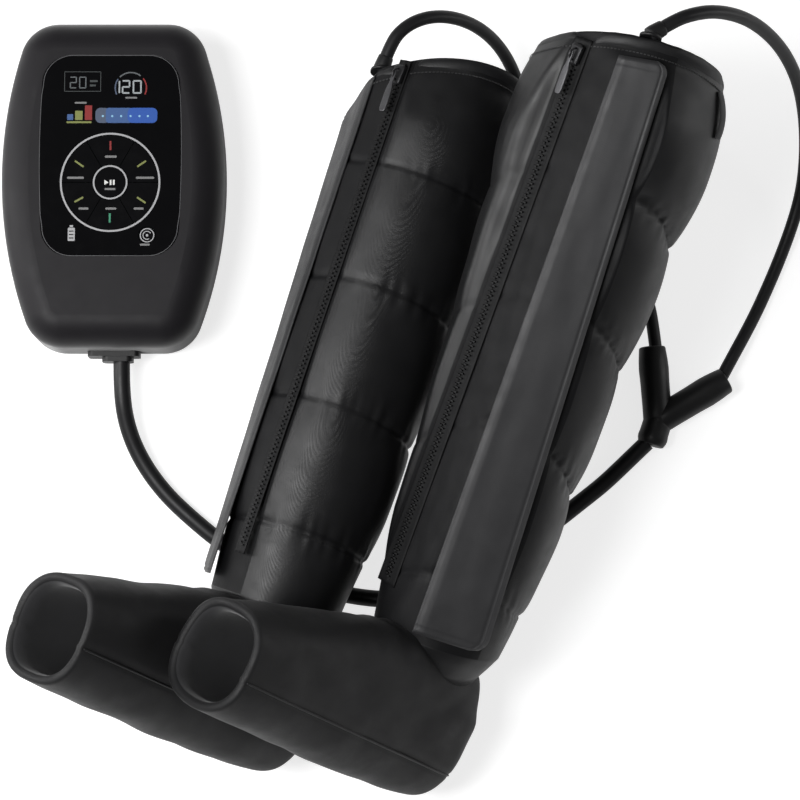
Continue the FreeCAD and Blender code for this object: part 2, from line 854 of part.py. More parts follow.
def bed_point(boot, share, u):
    """A point at a share of the flat front's width, at height u."""
    start = edge_point(boot, bed_angles(boot), front_radii, u)
    end = edge_point(boot, boot["root"], front_radii, u)
    return start + (end - start) * share


def frame_box(origin, along, outward, width, low, high, near, far):
    """A box on a frame: width across, low to high along, near to far outwards."""
    across = outward.cross(along).normalize()
    corner = origin + across * (-width / 2) + along * low + outward * near
    base = [corner, corner + across * width, corner + across * width + outward * (far - near),
            corner + outward * (far - near)]
    face = Part.Face(Part.makePolygon(base + base[:1]))
    return face.extrude(along * (high - low))


def zip_line(boot):
    """Origin, direction, outward normal and length of the straight zip."""
    low = bed_point(boot, zip_share, 0.0)
    high = bed_point(boot, zip_share, boot["length"])
    along = (high - low).normalize()
    middle = boot["length"] / 2
    across = bed_point(boot, 1.0, middle) - bed_point(boot, 0.0, middle)
    outward = across.cross(along).normalize()
    if outward.dot(Vector(low.x, low.y, 0)) < 0:
        outward = outward * -1
    return low, along, outward, (high - low).Length


def front_slit(boot):
    """The opening under the zip, through every layer of the sleeve."""
    origin, along, outward, length = zip_line(boot)
    return frame_box(origin, along, outward, slit_width, chain_lower_u, length + 2 * rim_spare,
                     -facet_depth / 3, facet_depth / 6)


def foot_sections():
    """(reach, half width, lowest, highest) of the foot, from heel to toes."""
    return [(-heel_reach, 26.0, -sole_depth + 20.0, -52.0),
            (-heel_reach + 9.0, 36.0, -sole_depth + 4.0, -24.0),
            (-34.0, 41.0, -sole_depth - 3.0, -4.0),
            (20.0, 42.0, -sole_depth - 5.0, 2.0),
            (75.0, 43.0, -sole_depth - 4.0, -7.0),
            (130.0, 43.0, -sole_depth - 1.0, -18.0),
            (180.0, 43.0, -sole_depth + 1.0, -28.0),
            (toe_reach, 41.5, -sole_depth + 3.0, -35.0)]


def rounded_section(x, half, low, high):
    """A rounded rectangle across the foot."""
    radius = 0.78 * half
    corners = [(-half, low), (half, low), (half, high), (-half, high)]
    edges = []
    signs = [(-1, -1), (1, -1), (1, 1), (-1, 1)]
    arcs = []
    for (y, z), (sy, sz) in zip(corners, signs):
        centre = (y - sy * radius, z - sz * radius)
        diagonal = radius * math.sqrt(0.5)
        along_z = Vector(x, y, centre[1])
        along_y = Vector(x, centre[0], z)
        middle = Vector(x, centre[0] + sy * diagonal, centre[1] + sz * diagonal)
        first, last = (along_z, along_y) if sy * sz > 0 else (along_y, along_z)
        arcs.append((first, middle, last))
    for (first, middle, last), (after, _, _) in zip(arcs, arcs[1:] + arcs[:1]):
        edges.append(Part.Arc(first, middle, last).toShape())
        edges.append(Part.LineSegment(last, after).toShape())
    return Part.Wire(edges)


def foot_solid(side_wall, low_wall, extra):
    """The foot's form, or with walls taken off the space inside it."""
    wires = []
    for x, half, low, high in foot_sections():
        if side_wall > 0 and x < -heel_reach + 5:
            continue
        wires.append(rounded_section(x, half - side_wall, low + low_wall, high - side_wall))
    if extra > 0:
        x, half, low, high = foot_sections()[-1]
        wires.append(rounded_section(x + extra, half - side_wall, low + low_wall,
                                     high - side_wall))
    return Part.makeLoft(wires, True, False)


def below_seam(boot):
    """Everything under the seam that joins the upper to the sole."""
    slope = math.degrees(math.atan2(seam_toe_height - seam_heel_height, toe_reach + heel_reach))
    size = 900.0
    block = Part.makeBox(size, size, size, Vector(-size / 2, -size / 2, -size))
    block.rotate(Vector(0, 0, 0), Vector(0, 1, 0), -slope)
    middle = (seam_heel_height + seam_toe_height) / 2
    block.translate(Vector((toe_reach - heel_reach) / 2, 0, -sole_depth + middle))
    return block


def pitched(boot, shape):
    """The foot turns at the ankle centre."""
    copy = shape.copy()
    copy.rotate(Vector(0, 0, 0), Vector(0, 1, 0), -boot["pitch"])
    return copy


def make_foot(boot):
    outer = foot_solid(0.0, 0.0, 0.0)
    inner = foot_solid(foot_wall, foot_sole_wall, 20.0)
    hollow = outer.cut(inner)
    under = below_seam(boot)
    sole = hollow.common(under)
    upper = hollow.cut(under)
    upper.translate(Vector(0, 0, seam_cut_gap))
    leg = lobed_solid(boot, -trim_gap)
    leg.translate(Vector(0, 0, -trim_gap))
    return pitched(boot, upper).cut(leg), pitched(boot, sole)


def panel_block(boot):
    """The wedge that holds the front panel: the flat bed of the zip and the flap's seat."""
    start = tuple(angle + panel_margin for angle in bed_angles(boot))
    end = tuple(angle + recess_margin - panel_margin for angle in boot["free"])
    near = (panel_core, panel_core)
    far = tuple(radius + facet_depth for radius in front_radii)
    ring = [(start, near), (boot["root"], near), (end, near), (end, far), (boot["root"], far),
            (start, far)]
    high = boot["length"] + rim_spare + 5
    return loft(section_points(boot, ring, flap_lower_u), section_points(boot, ring, high))


def make_sleeve(boot):
    cap = above_rim(boot, 0.0)
    slit = front_slit(boot)
    skin = sleeve(boot, 0.0).cut(sleeve_inner(boot)).cut(cap).cut(slit)
    front = panel_block(boot)
    panel = skin.common(front)
    cover = skin.cut(front)
    lining_outer = lining_solid(boot, 0.0)
    lining = lining_outer.cut(lining_solid(boot, lining_thickness)).cut(cap).cut(slit)
    filling = sleeve(boot, cover_thickness + layer_gap)
    filling = filling.cut(lining_solid(boot, -layer_gap)).cut(above_rim(boot, binding_height))
    filling = filling.cut(front_slit(boot))
    chambers = []
    heights = seams(boot) + [boot["length"] + rim_spare]
    for low, high in zip(heights, heights[1:]):
        slice_solid = Part.makeCylinder(2 * rim_radius, high - low - 2 * seam_gap,
                                        Vector(0, 0, low + seam_gap))
        chambers += filling.common(slice_solid).Solids
    return cover, panel, lining, group(chambers)


def sleeve_inner(boot):
    inner = lobed_solid(boot, cover_thickness)
    below = Part.makeCylinder(tuck_radius - cover_thickness, 5.0, Vector(0, 0, -tuck_depth - 5.0))
    return inner.fuse(below).cut(front_cutter(boot, cover_thickness))


def make_binding(boot):
    """A padded band folded over the rim: the gap between cover and lining."""
    outer = sleeve(boot, cover_thickness + layer_gap)
    band = outer.cut(lining_solid(boot, -layer_gap))
    band = band.common(above_rim(boot, binding_height - layer_gap))
    band = band.cut(above_rim(boot, 0.0)).cut(front_slit(boot))
    cap_low = sleeve(boot, 0.0).cut(lining_solid(boot, lining_thickness))
    cap_ring = cap_low.common(above_rim(boot, -0.05)).cut(above_rim(boot, -binding_stand))
    cap_ring = cap_ring.cut(front_slit(boot))
    neck = outer.cut(lining_solid(boot, -layer_gap)).common(above_rim(boot, 0.5))
    neck = neck.cut(above_rim(boot, -0.5)).cut(front_slit(boot))
    return fuse([band, neck, cap_ring])


def make_tape(boot):
    sections = []
    for u in (chain_lower_u - tape_tail, boot["length"] - tape_upper_drop):
        a = bed_point(boot, zip_share - tape_share, u)
        b = bed_point(boot, zip_share + tape_share, u)
        out = (b - a).cross(Vector(0, 0, 1)).normalize()
        if out.dot(a + b) < 0:
            out = out * -1
        far = tape_gap + tape_thickness
        sections.append([a + out * tape_gap, b + out * tape_gap, b + out * far, a + out * far])
    return loft(sections[0], sections[1])


def chain_span(boot):
    """Near and far face of the chain above the bed, and its two ends along the zip."""
    near = tape_gap + tape_thickness + chain_gap
    length = zip_line(boot)[3]
    return near, near + chain_height, chain_lower_u, length - chain_upper_drop


def make_chain(boot):
    origin, along, outward, _ = zip_line(boot)
    near, far, low, high = chain_span(boot)
    return frame_box(origin, along, outward, chain_width, low, high, near, far)


def slider_place(boot):
    """Top face level of the slider, its lower and upper end and its pin's place."""
    _, far, _, high = chain_span(boot)
    level = far + slider_gap + slider_wall
    upper = high - slider_drop
    return level, upper - slider_length, upper


def pin_level(boot):
    return slider_place(boot)[0] + pin_rise


def make_slider(boot):
    origin, along, outward, _ = zip_line(boot)
    near, far, _, _ = chain_span(boot)
    level, low, high = slider_place(boot)
    body = frame_box(origin, along, outward, slider_width, low, high, near + slider_lift, level)
    channel = frame_box(origin, along, outward, chain_width + 2 * slider_gap, low - 1, high + 1,
                        near - 1, far + slider_gap)
    body = body.cut(channel)
    across = outward.cross(along).normalize()
    pin_at = low + slider_length / 2
    ears = []
    for sign in (-1, 1):
        base = origin + across * (sign * (ear_gap + ear_thickness) / 2)
        ears.append(frame_box(base, along, outward, ear_thickness, pin_at - 2 * pull_pin_radius,
                              pin_at + 2 * pull_pin_radius, level, pin_level(boot) + 2 * pull_pin_radius))
    centre = origin + along * pin_at + outward * pin_level(boot)
    pin = rod(pull_pin_radius, centre - across * (ear_gap / 2), across, ear_gap)
    return fuse([body] + ears + [pin])


def make_pull(boot):
    """Hangs from the slider's pin towards the ankle, over the chain."""
    origin, along, outward, _ = zip_line(boot)
    _, low, _ = slider_place(boot)
    across = outward.cross(along).normalize()
    pin_at = low + slider_length / 2
    centre = origin + along * pin_at + outward * pin_level(boot)
    near = pin_level(boot) - pull_thickness / 2
    far = pin_level(boot) + pull_thickness / 2
    neck_width = ear_gap - 2 * slider_gap
    eye = rod(pull_eye_radius, centre - across * (neck_width / 2), across, neck_width)
    neck = frame_box(origin, along, outward, neck_width, pin_at - slider_length, pin_at, near, far)
    grip = frame_box(origin, along, outward, pull_width, pin_at - pull_length,
                     pin_at - slider_length * 0.7, near, far)
    hole = rod(pull_pin_radius + slider_gap, centre - across * neck_width, across, 2 * neck_width)
    return fuse([eye, neck, grip]).cut(hole)


def make_flap(boot):
    root = (boot["root"], front_radii)
    free = (boot["free"], free_radii)
    panel = slab(boot, root, free, flap_gap, flap_gap + flap_thickness, flap_lower_u,
                 boot["length"] + rim_spare)
    return panel.cut(above_rim(boot, boot["flap_drop"]))


def make_loop(boot):
    """A short webbing tab on the rim's outer side."""
    middle_u = rim_level(boot, polar(loop_angle, rim_radius, boot["side"])) - loop_drop
    low = boot["first_seam"] + 3 * boot["chamber"]
    half_span = (boot["length"] - low) / 2
    lobe_middle = low + half_span
    chord_middle = (seam_radii[3] + rim_radius) / 2
    crown = boot["lobes"][3] - chord_middle
    lean = (rim_radius - seam_radii[3]) / (2 * half_span)
    share = (middle_u - lobe_middle) / half_span
    level = chord_middle + lean * half_span * share + crown * (1 - share ** 2)
    slope = math.degrees(math.atan(lean - 2 * crown * share / half_span))
    tab = box(0, loop_thickness, -loop_width / 2, loop_width / 2, -loop_length / 2,
              loop_length / 2)
    tab.rotate(Vector(0, 0, 0), Vector(0, 1, 0), slope)
    tab.translate(Vector(level + 2 * layer_gap, 0, middle_u))
    tab.rotate(Vector(0, 0, 0), Vector(0, 0, 1), boot["side"] * loop_angle)
    return tab


def port_place(boot):
    """The foot of the hose port on the rim's padded edge, and its direction."""
    middle = (lining_rim_radius - lining_thickness + rim_radius) / 2
    flat = polar(boot["port"][0], middle, boot["side"])
    normal = rim_normal(boot)
    return Vector(flat.x, flat.y, rim_level(boot, flat)) + normal * binding_stand, normal


def nozzle_line(boot):
    """The port's knee and the way its nozzle leans round the rim from there."""
    base, normal = port_place(boot)
    lean = math.radians(boot["port"][1])
    round_rim = polar(boot["port"][0] + 90.0, 1.0, boot["side"])
    direction = (normal * math.cos(lean) + round_rim * math.sin(lean)).normalize()
    return base + normal * flange_thickness, direction


def make_port(boot):
    base, normal = port_place(boot)
    knee, direction = nozzle_line(boot)
    flange = rod(flange_radius, base, normal, flange_thickness)
    nozzle = rod(nozzle_radius, knee - direction * nozzle_radius, direction,
                 nozzle_radius + nozzle_length)
    above = rod(4 * flange_radius, base, normal, 4 * nozzle_length)
    return fuse([flange, nozzle.common(above)])


def port_exit(boot):
    """Where the hose leaves the port, in the set's own frame."""
    knee, direction = nozzle_line(boot)
    place = boot_placement(boot)
    return (place.multVec(knee + direction * nozzle_length), place.Rotation.multVec(direction))


def place_and_export(boot, name, shape):
    shape.Placement = boot_placement(boot).multiply(shape.Placement)
    export(name, shape)


def build_boot(label):
    boot = boots[label]
    cover, panel, lining, chambers = make_sleeve(boot)
    upper, sole = make_foot(boot)
    nodes = {"leg_cover": cover, "front_panel": panel, "leg_lining": lining, "air_bladders": chambers,
             "foot_upper": upper, "foot_sole": sole, "rim_binding": make_binding(boot),
             "zip_tape": make_tape(boot), "zip_chain": make_chain(boot),
             "zip_slider": make_slider(boot), "zip_pull": make_pull(boot),
             "flap": make_flap(boot), "hanging_loop": make_loop(boot),
             "hose_port": make_port(boot)}
    for name, shape in nodes.items():
        place_and_export(boot, name + "_" + label, shape)
    exit_point, direction = port_exit(boot)
    print(label, "port", [round(v, 1) for v in exit_point], [round(v, 3) for v in direction])


for boot_name in boots:
    build_boot(boot_name)


# ====================================================================================
# hoses and splitter
# ====================================================================================
def full_main_route():
    face_y = -case_length / 2 - outlet_stand - plug_length
    start = (plug_x + hose_offset, face_y, outlet_z)
    square = (plug_x + hose_offset, face_y - plug_lead, outlet_z)
    return [start, square] + main_route


def full_branch_route(label):
    start, direction = port_exit(boots[label])
    square = start + direction * port_lead
    return [tuple(start), tuple(square)] + branch_routes[label]


def make_splitter():
    """Three round arms that meet in a ball."""
    centre = Vector(*splitter_centre)
    pieces = [Part.makeSphere(splitter_radius, centre)]
    for end in splitter_ends:
        axis = Vector(*end) - centre
        pieces.append(rod(splitter_radius, centre, axis, axis.Length))
    return fuse(pieces)


def build_hoses():
    """Each hose is cut off flush with the end face of its arm."""
    splitter = make_splitter()
    export("y_splitter", splitter)
    export("main_hose", tube(full_main_route(), main_radius, "main_hose").cut(splitter))
    for label in boots:
        name = "branch_hose_" + label
        export(name, tube(full_branch_route(label), branch_radius, name).cut(splitter))


build_hoses()
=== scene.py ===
import json
import math

import bmesh
import bpy
from mathutils import Matrix, Vector, noise

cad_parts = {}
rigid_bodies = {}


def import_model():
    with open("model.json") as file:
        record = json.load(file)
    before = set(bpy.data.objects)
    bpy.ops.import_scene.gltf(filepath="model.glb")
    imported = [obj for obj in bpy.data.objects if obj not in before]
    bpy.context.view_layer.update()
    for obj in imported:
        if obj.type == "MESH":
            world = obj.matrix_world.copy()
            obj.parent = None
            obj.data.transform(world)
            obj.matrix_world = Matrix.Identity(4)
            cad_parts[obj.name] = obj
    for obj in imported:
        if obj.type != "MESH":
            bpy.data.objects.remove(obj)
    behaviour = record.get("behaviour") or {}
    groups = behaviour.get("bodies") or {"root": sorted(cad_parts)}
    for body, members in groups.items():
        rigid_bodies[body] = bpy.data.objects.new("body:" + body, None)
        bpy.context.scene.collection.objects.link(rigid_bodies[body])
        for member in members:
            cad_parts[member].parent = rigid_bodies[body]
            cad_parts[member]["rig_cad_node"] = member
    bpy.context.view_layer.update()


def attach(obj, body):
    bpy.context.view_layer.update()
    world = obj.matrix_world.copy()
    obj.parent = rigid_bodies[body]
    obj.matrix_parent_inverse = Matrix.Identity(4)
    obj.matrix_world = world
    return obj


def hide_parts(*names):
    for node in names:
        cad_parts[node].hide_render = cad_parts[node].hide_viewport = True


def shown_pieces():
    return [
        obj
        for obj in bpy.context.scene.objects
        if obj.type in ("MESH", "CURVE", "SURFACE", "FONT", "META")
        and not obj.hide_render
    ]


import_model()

MM = 0.001
scene = bpy.context.scene
scene.view_settings.view_transform = "Standard"

# ====================================================================================
# camera
# ====================================================================================
camera_data = bpy.data.cameras.new("camera")
camera_data.sensor_width = 36.0
camera_data.lens = 131.6
camera_data.clip_end = 20.0
camera = bpy.data.objects.new("camera", camera_data)
scene.collection.objects.link(camera)
scene.camera = camera
look_at = Vector((0.2325, -0.1757, 0.060))
elevation = math.radians(84.0)
camera_distance = 2.34
forward = Vector((0.0, math.cos(elevation), -math.sin(elevation)))
camera.location = look_at - forward * camera_distance
camera.rotation_mode = "QUATERNION"
camera.rotation_quaternion = forward.to_track_quat("-Z", "Y")


# ====================================================================================
# materials
# ====================================================================================
class Nodes:
    """A material's node tree with short calls."""

    def __init__(self, name):
        self.material = bpy.data.materials.new(name)
        self.material.use_nodes = True
        self.tree = self.material.node_tree
        self.tree.nodes.clear()
        self.out = self.add("ShaderNodeOutputMaterial")
        self.shader = self.add("ShaderNodeBsdfPrincipled")
        self.link(self.shader.outputs[0], self.out.inputs["Surface"])
        self.place = self.add("ShaderNodeTexCoord").outputs["Object"]

    def add(self, kind, **values):
        node = self.tree.nodes.new(kind)
        for key, value in values.items():
            setattr(node, key, value)
        return node

    def link(self, a, b):
        self.tree.links.new(a, b)

    def turned(self, angles):
        mapping = self.add("ShaderNodeMapping")
        mapping.inputs["Rotation"].default_value = [math.radians(a) for a in angles]
        self.link(self.place, mapping.inputs["Vector"])
        return mapping.outputs[0]

    def noise(self, scale, detail):
        node = self.add("ShaderNodeTexNoise")
        node.inputs["Scale"].default_value = scale
        node.inputs["Detail"].default_value = detail
        node.inputs["Roughness"].default_value = 0.55
        self.link(self.place, node.inputs["Vector"])
        return node.outputs["Fac"]

    def wave(self, scale, direction, vector):
        node = self.add("ShaderNodeTexWave", bands_direction=direction)
        node.inputs["Scale"].default_value = scale
        node.inputs["Distortion"].default_value = 0.6
        node.inputs["Detail"].default_value = 1.0
        node.inputs["Detail Scale"].default_value = 2.0
        self.link(vector, node.inputs["Vector"])
        return node.outputs["Fac"]

    def math(self, operation, a, b):
        node = self.add("ShaderNodeMath", operation=operation)
        for socket, value in zip(node.inputs, (a, b)):
            if isinstance(value, (int, float)):
                socket.default_value = value
            else:
                self.link(value, socket)
        return node.outputs[0]

    def ramp(self, fac, stops):
        node = self.add("ShaderNodeValToRGB")
        elements = node.color_ramp.elements
        while len(elements) < len(stops):
            elements.new(0.5)
        for element, (at, color) in zip(elements, stops):
            element.position = at
            element.color = (*color, 1.0)
        self.link(fac, node.inputs[0])
        return node.outputs[0]

    def drive(self, socket, fac, low, high, stops=(0.3, 0.7)):
        """A shader socket that runs from low to high with fac."""
        self.link(self.ramp(fac, list(zip(stops, (low, high)))), self.shader.inputs[socket])

    def bump(self, height, strength, distance):
        node = self.add("ShaderNodeBump")
        node.inputs["Strength"].default_value = strength
        node.inputs["Distance"].default_value = distance
        self.link(height, node.inputs["Height"])
        self.link(node.outputs[0], self.shader.inputs["Normal"])

    def settings(self, **values):
        for key, value in values.items():
            self.shader.inputs[key.replace("_", " ")].default_value = value


def shade(color, factor):
    return tuple(c * factor for c in color)


def cloth(name, color, rough, thread=700.0, sheen=0.25, depth=0.00012, vary=0.25, specular=0.5):
    """A coated woven fabric: threads both ways, slight streaks and worn patches."""
    n = Nodes(name)
    along_the_boots = n.turned((0, 0, -18.5))
    warp, weft, rise = (n.wave(thread, way, along_the_boots) for way in "XYZ")
    weave = n.math("MAXIMUM", n.math("MAXIMUM", warp, weft), rise)
    fine = n.noise(2600.0, 2.0)
    broad = n.noise(28.0, 4.0)
    height = n.math("ADD", n.math("MULTIPLY", weave, 0.6), n.math("MULTIPLY", fine, 0.5))
    n.bump(height, 0.55, depth)
    mixed = n.math("ADD", n.math("MULTIPLY", broad, 0.75), n.math("MULTIPLY", weave, 0.25))
    n.drive("Base Color", mixed, shade(color, 1 - vary), shade(color, 1 + vary))
    n.drive("Roughness", n.noise(60.0, 3.0), (rough - 0.05,) * 3, (rough + 0.07,) * 3)
    n.settings(Sheen_Weight=sheen, Sheen_Roughness=0.45, Specular_IOR_Level=specular)
    return n.material


def plastic(name, color, rough, grain=3500.0, depth=0.00003, specular=0.5, sheen=0.0, vary=0.06):
    """Moulded plastic: a fine spark-eroded grain, faint handling marks."""
    n = Nodes(name)
    n.bump(n.noise(grain, 2.0), 0.35, depth)
    n.drive("Base Color", n.noise(35.0, 4.0), shade(color, 1 - vary), shade(color, 1 + vary))
    n.drive("Roughness", n.noise(90.0, 5.0), (rough - 0.03,) * 3, (rough + 0.05,) * 3, (0.35, 0.7))
    n.settings(Specular_IOR_Level=specular, Sheen_Weight=sheen, Sheen_Roughness=0.4)
    return n.material


def metal(name, color, rough, metallic=1.0):
    """Bare or enamelled metal, slightly scuffed."""
    n = Nodes(name)
    n.drive("Base Color", n.noise(700.0, 4.0), shade(color, 0.85), shade(color, 1.1))
    n.drive("Roughness", n.noise(120.0, 4.0), (rough - 0.06,) * 3, (rough + 0.08,) * 3)
    n.bump(n.noise(2200.0, 2.0), 0.2, 0.00002)
    n.settings(Metallic=metallic)
    return n.material


def print_ink(name, color, glow):
    """Printed or lit marks of the display and the key pad."""
    n = Nodes(name)
    tone = n.ramp(n.noise(900.0, 2.0), [(0.3, shade(color, 0.9)), (0.7, color)])
    n.link(tone, n.shader.inputs["Base Color"])
    n.link(tone, n.shader.inputs["Emission Color"])
    n.settings(Emission_Strength=glow, Roughness=0.4)
    return n.material


case_skin = plastic("case_soft_touch", (0.0115, 0.0105, 0.0125), 0.5, 3200.0, 0.00004, specular=0.22,
                    sheen=0.35)
window_skin = plastic("window_gloss", (0.0025, 0.0025, 0.003), 0.09, 900.0, 0.000004, specular=0.2)
key_skin = plastic("key_gloss", (0.003, 0.003, 0.0036), 0.13, 1200.0, 0.000005, specular=0.2)
black_skin = plastic("black_moulding", (0.009, 0.009, 0.0095), 0.42, 2600.0, 0.00004, specular=0.4)
hose_skin = plastic("hose_rubber", (0.010, 0.010, 0.011), 0.44, 1500.0, 0.00003, specular=0.35, vary=0.12)
rubber_skin = plastic("foot_rubber", (0.02, 0.02, 0.02), 0.75, 1800.0, 0.00006)
satin_skin = cloth("boot_satin", (0.006, 0.006, 0.0066), 0.4, sheen=0.02, specular=0.4)
# a darker copy of the satin: painted shade on the front panel and painted shadow in the gap beside the flap
panel_shade_skin = cloth("panel_satin_painted_shade", (0.005, 0.005, 0.0056), 0.55, sheen=0.0, specular=0.2)
flap_skin = cloth("flap_satin", (0.026, 0.026, 0.0275), 0.47, sheen=0.06, specular=0.4)
# a lighter cloth for the flap's hem: painted highlight on its edge
hem_highlight_skin = cloth("flap_hem_painted_highlight", (0.045, 0.045, 0.047), 0.5, thread=500.0, sheen=0.1, specular=0.4)
foot_skin = cloth("foot_fabric", (0.009, 0.0088, 0.0095), 0.56, sheen=0.05, specular=0.35)
sole_skin = cloth("sole_fabric", (0.011, 0.011, 0.0117), 0.56, sheen=0.04, specular=0.3)
lining_skin = cloth("lining_fabric", (0.030, 0.030, 0.032), 0.75, thread=900.0, sheen=0.2)
binding_skin = cloth("binding_satin", (0.008, 0.008, 0.0088), 0.46, sheen=0.04, specular=0.4)
webbing_skin = cloth("webbing", (0.010, 0.010, 0.011), 0.65, thread=350.0, sheen=0.1, depth=0.0003)
tape_skin = cloth("zip_tape", (0.005, 0.005, 0.0055), 0.62, thread=450.0, sheen=0.0, depth=0.0002,
                  specular=0.25)
zip_skin = plastic("zip_coil", (0.0035, 0.0035, 0.004), 0.5, 1500.0, 0.00002, specular=0.25)
slider_skin = metal("slider_enamel", (0.035, 0.035, 0.037), 0.35, 0.6)
pull_skin = metal("pull_enamel", (0.085, 0.085, 0.09), 0.38, 0.6)
steel_skin = metal("plain_steel", (0.55, 0.55, 0.57), 0.32)
board_skin = plastic("board_mask", (0.01, 0.08, 0.035), 0.35, 900.0, 0.00004)
white_skin = plastic("white_moulding", (0.6, 0.6, 0.57), 0.45)
silicone_skin = plastic("silicone_tube", (0.55, 0.55, 0.52), 0.4)
wrap_skin = plastic("battery_wrap", (0.02, 0.05, 0.2), 0.3)
thread_skin = cloth("sewing_thread", (0.02, 0.02, 0.021), 0.6, thread=1500.0, sheen=0.2)
ring_ink = print_ink("print_ring", (0.36, 0.36, 0.37), 0.22)
label_ink = print_ink("print_label", (0.19, 0.19, 0.19), 0.12)
white_ink = print_ink("print_white", (0.6, 0.6, 0.58), 0.4)
red_ink = print_ink("print_red", (0.20, 0.010, 0.010), 0.35)
green_ink = print_ink("print_green", (0.03, 0.22, 0.12), 0.3)
lime_ink = print_ink("print_lime", (0.17, 0.19, 0.05), 0.3)
digit_dim = print_ink("digit_dim", (0.09, 0.10, 0.105), 0.3)
digit_lit = print_ink("digit_lit", (0.27, 0.29, 0.30), 0.5)
frame_ink = print_ink("readout_frame", (0.04, 0.046, 0.046), 0.25)
blue_ink = print_ink("bar_blue", (0.03, 0.075, 0.20), 0.5)
deep_ink = print_ink("bar_deep_blue", (0.012, 0.06, 0.27), 0.6)
grey_ink = print_ink("bar_grey_blue", (0.055, 0.075, 0.12), 0.35)
dot_ink = print_ink("bar_dots", (0.18, 0.36, 0.5), 0.6)
# a lighter plastic for the window's edge: painted highlight
glass_edge_highlight_skin = plastic("glass_edge_painted_highlight", (0.10, 0.10, 0.105), 0.3)


# ====================================================================================
# mesh helpers
# ====================================================================================
def link(name, mesh, material, body, smooth=True):
    piece = bpy.data.objects.new(name, mesh)
    scene.collection.objects.link(piece)
    mesh.materials.append(material)
    for polygon in mesh.polygons:
        polygon.use_smooth = smooth
    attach(piece, body)
    return piece


def from_faces(name, points, faces, material, body, smooth=True):
    mesh = bpy.data.meshes.new(name)
    mesh.from_pydata([tuple(p) for p in points], [], faces)
    shell = bmesh.new()
    shell.from_mesh(mesh)
    bmesh.ops.recalc_face_normals(shell, faces=shell.faces)
    shell.to_mesh(mesh)
    shell.free()
    return link(name, mesh, material, body, smooth)


def grid_faces(rows, columns, wrap_rows=False, wrap_columns=False):
    faces = []
    for i in range(rows if wrap_rows else rows - 1):
        for j in range(columns if wrap_columns else columns - 1):
            near, far = i * columns, ((i + 1) % rows) * columns
            beside = (j + 1) % columns
            faces.append((near + j, near + beside, far + beside, far + j))
    return faces


def prism_faces(base, count):
    """A closed prism from two outlines of count points each, the first at base."""
    faces = [tuple(base + k for k in range(count)), tuple(base + 2 * count - 1 - k for k in range(count))]
    for k in range(count):
        after = (k + 1) % count
        faces.append((base + k, base + count + k, base + count + after, base + after))
    return faces


def bowed(value, power):
    """A power that keeps the sign, for rings between round and square."""
    return math.copysign(abs(value) ** power, value)


def closed_tube(name, rings, material, body, capped=True):
    """Rings of points joined one after the other, closed at both ends."""
    count = len(rings[0])
    points = [p for ring in rings for p in ring]
    faces = grid_faces(len(rings), count, wrap_columns=True)
    if capped:
        faces.append(tuple(range(count)))
        faces.append(tuple(len(points) - 1 - i for i in range(count)))
    return from_faces(name, points, faces, material, body)


def subdivide(piece, levels):
    modifier = piece.modifiers.new("subdivision", "SUBSURF")
    modifier.levels = levels
    modifier.render_levels = levels


def thicken(piece, thickness, side):
    """Cloth of this thickness, on the outer side of the skin or on its inner side."""
    modifier = piece.modifiers.new("thickness", "SOLIDIFY")
    modifier.thickness = thickness
    modifier.offset = side


def flat_marks(name, outlines, level, material, body, height=0.06):
    """Thin printed or lit marks on the display face; outlines in millimetres."""
    points = []
    faces = []
    for outline in outlines:
        base = len(points)
        count = len(outline)
        points += [Vector((x, y, level)) * MM for x, y in outline]
        points += [Vector((x, y, level + height)) * MM for x, y in outline]
        faces.append(tuple(base + i for i in reversed(range(count))))
        faces.append(tuple(base + count + i for i in range(count)))
        for i in range(count):
            j = (i + 1) % count
            faces.append((base + i, base + j, base + count + j, base + count + i))
    return from_faces(name, points, faces, material, body, smooth=False)


def ring_mesh(name, centre, inner, outer, start, end, steps, level, material, body, height=0.06):
    """A ring, or a sector of one, as one closed band."""
    rings = []
    full = abs(end - start - 360.0) < 0.01
    count = steps if full else steps + 1
    for i in range(count):
        a = math.radians(start + (end - start) * i / steps)
        ring = []
        for r, z in ((inner, level), (outer, level), (outer, level + height), (inner, level + height)):
            ring.append(Vector((centre[0] + r * math.cos(a), centre[1] + r * math.sin(a), z)) * MM)
        rings.append(ring)
    points = [p for ring in rings for p in ring]
    faces = grid_faces(count, 4, wrap_rows=full, wrap_columns=True)
    if not full:
        faces.append((0, 1, 2, 3))
        last = len(points) - 4
        faces.append((last + 3, last + 2, last + 1, last))
    return from_faces(name, points, faces, material, body, smooth=False)


def bar(x0, y0, x1, y1, width):
    """A straight stroke as a four-cornered outline."""
    length = math.hypot(x1 - x0, y1 - y0)
    nx = -(y1 - y0) / length * width / 2
    ny = (x1 - x0) / length * width / 2
    return [(x0 + nx, y0 + ny), (x0 - nx, y0 - ny), (x1 - nx, y1 - ny), (x1 + nx, y1 + ny)]


def rounded_box(x0, y0, x1, y1, radius, steps=5):
    outline = []
    for cx, cy, start in ((x1 - radius, y1 - radius, 0), (x0 + radius, y1 - radius, 90),
                          (x0 + radius, y0 + radius, 180), (x1 - radius, y0 + radius, 270)):
        for i in range(steps + 1):
            a = math.radians(start + 90.0 * i / steps)
            outline.append((cx + radius * math.cos(a), cy + radius * math.sin(a)))
    return outline


def bevel_edges(piece, width):
    modifier = piece.modifiers.new("bevel", "BEVEL")
    modifier.width = width
    modifier.segments = 2
    modifier.limit_method = "ANGLE"
    modifier.angle_limit = math.radians(35.0)


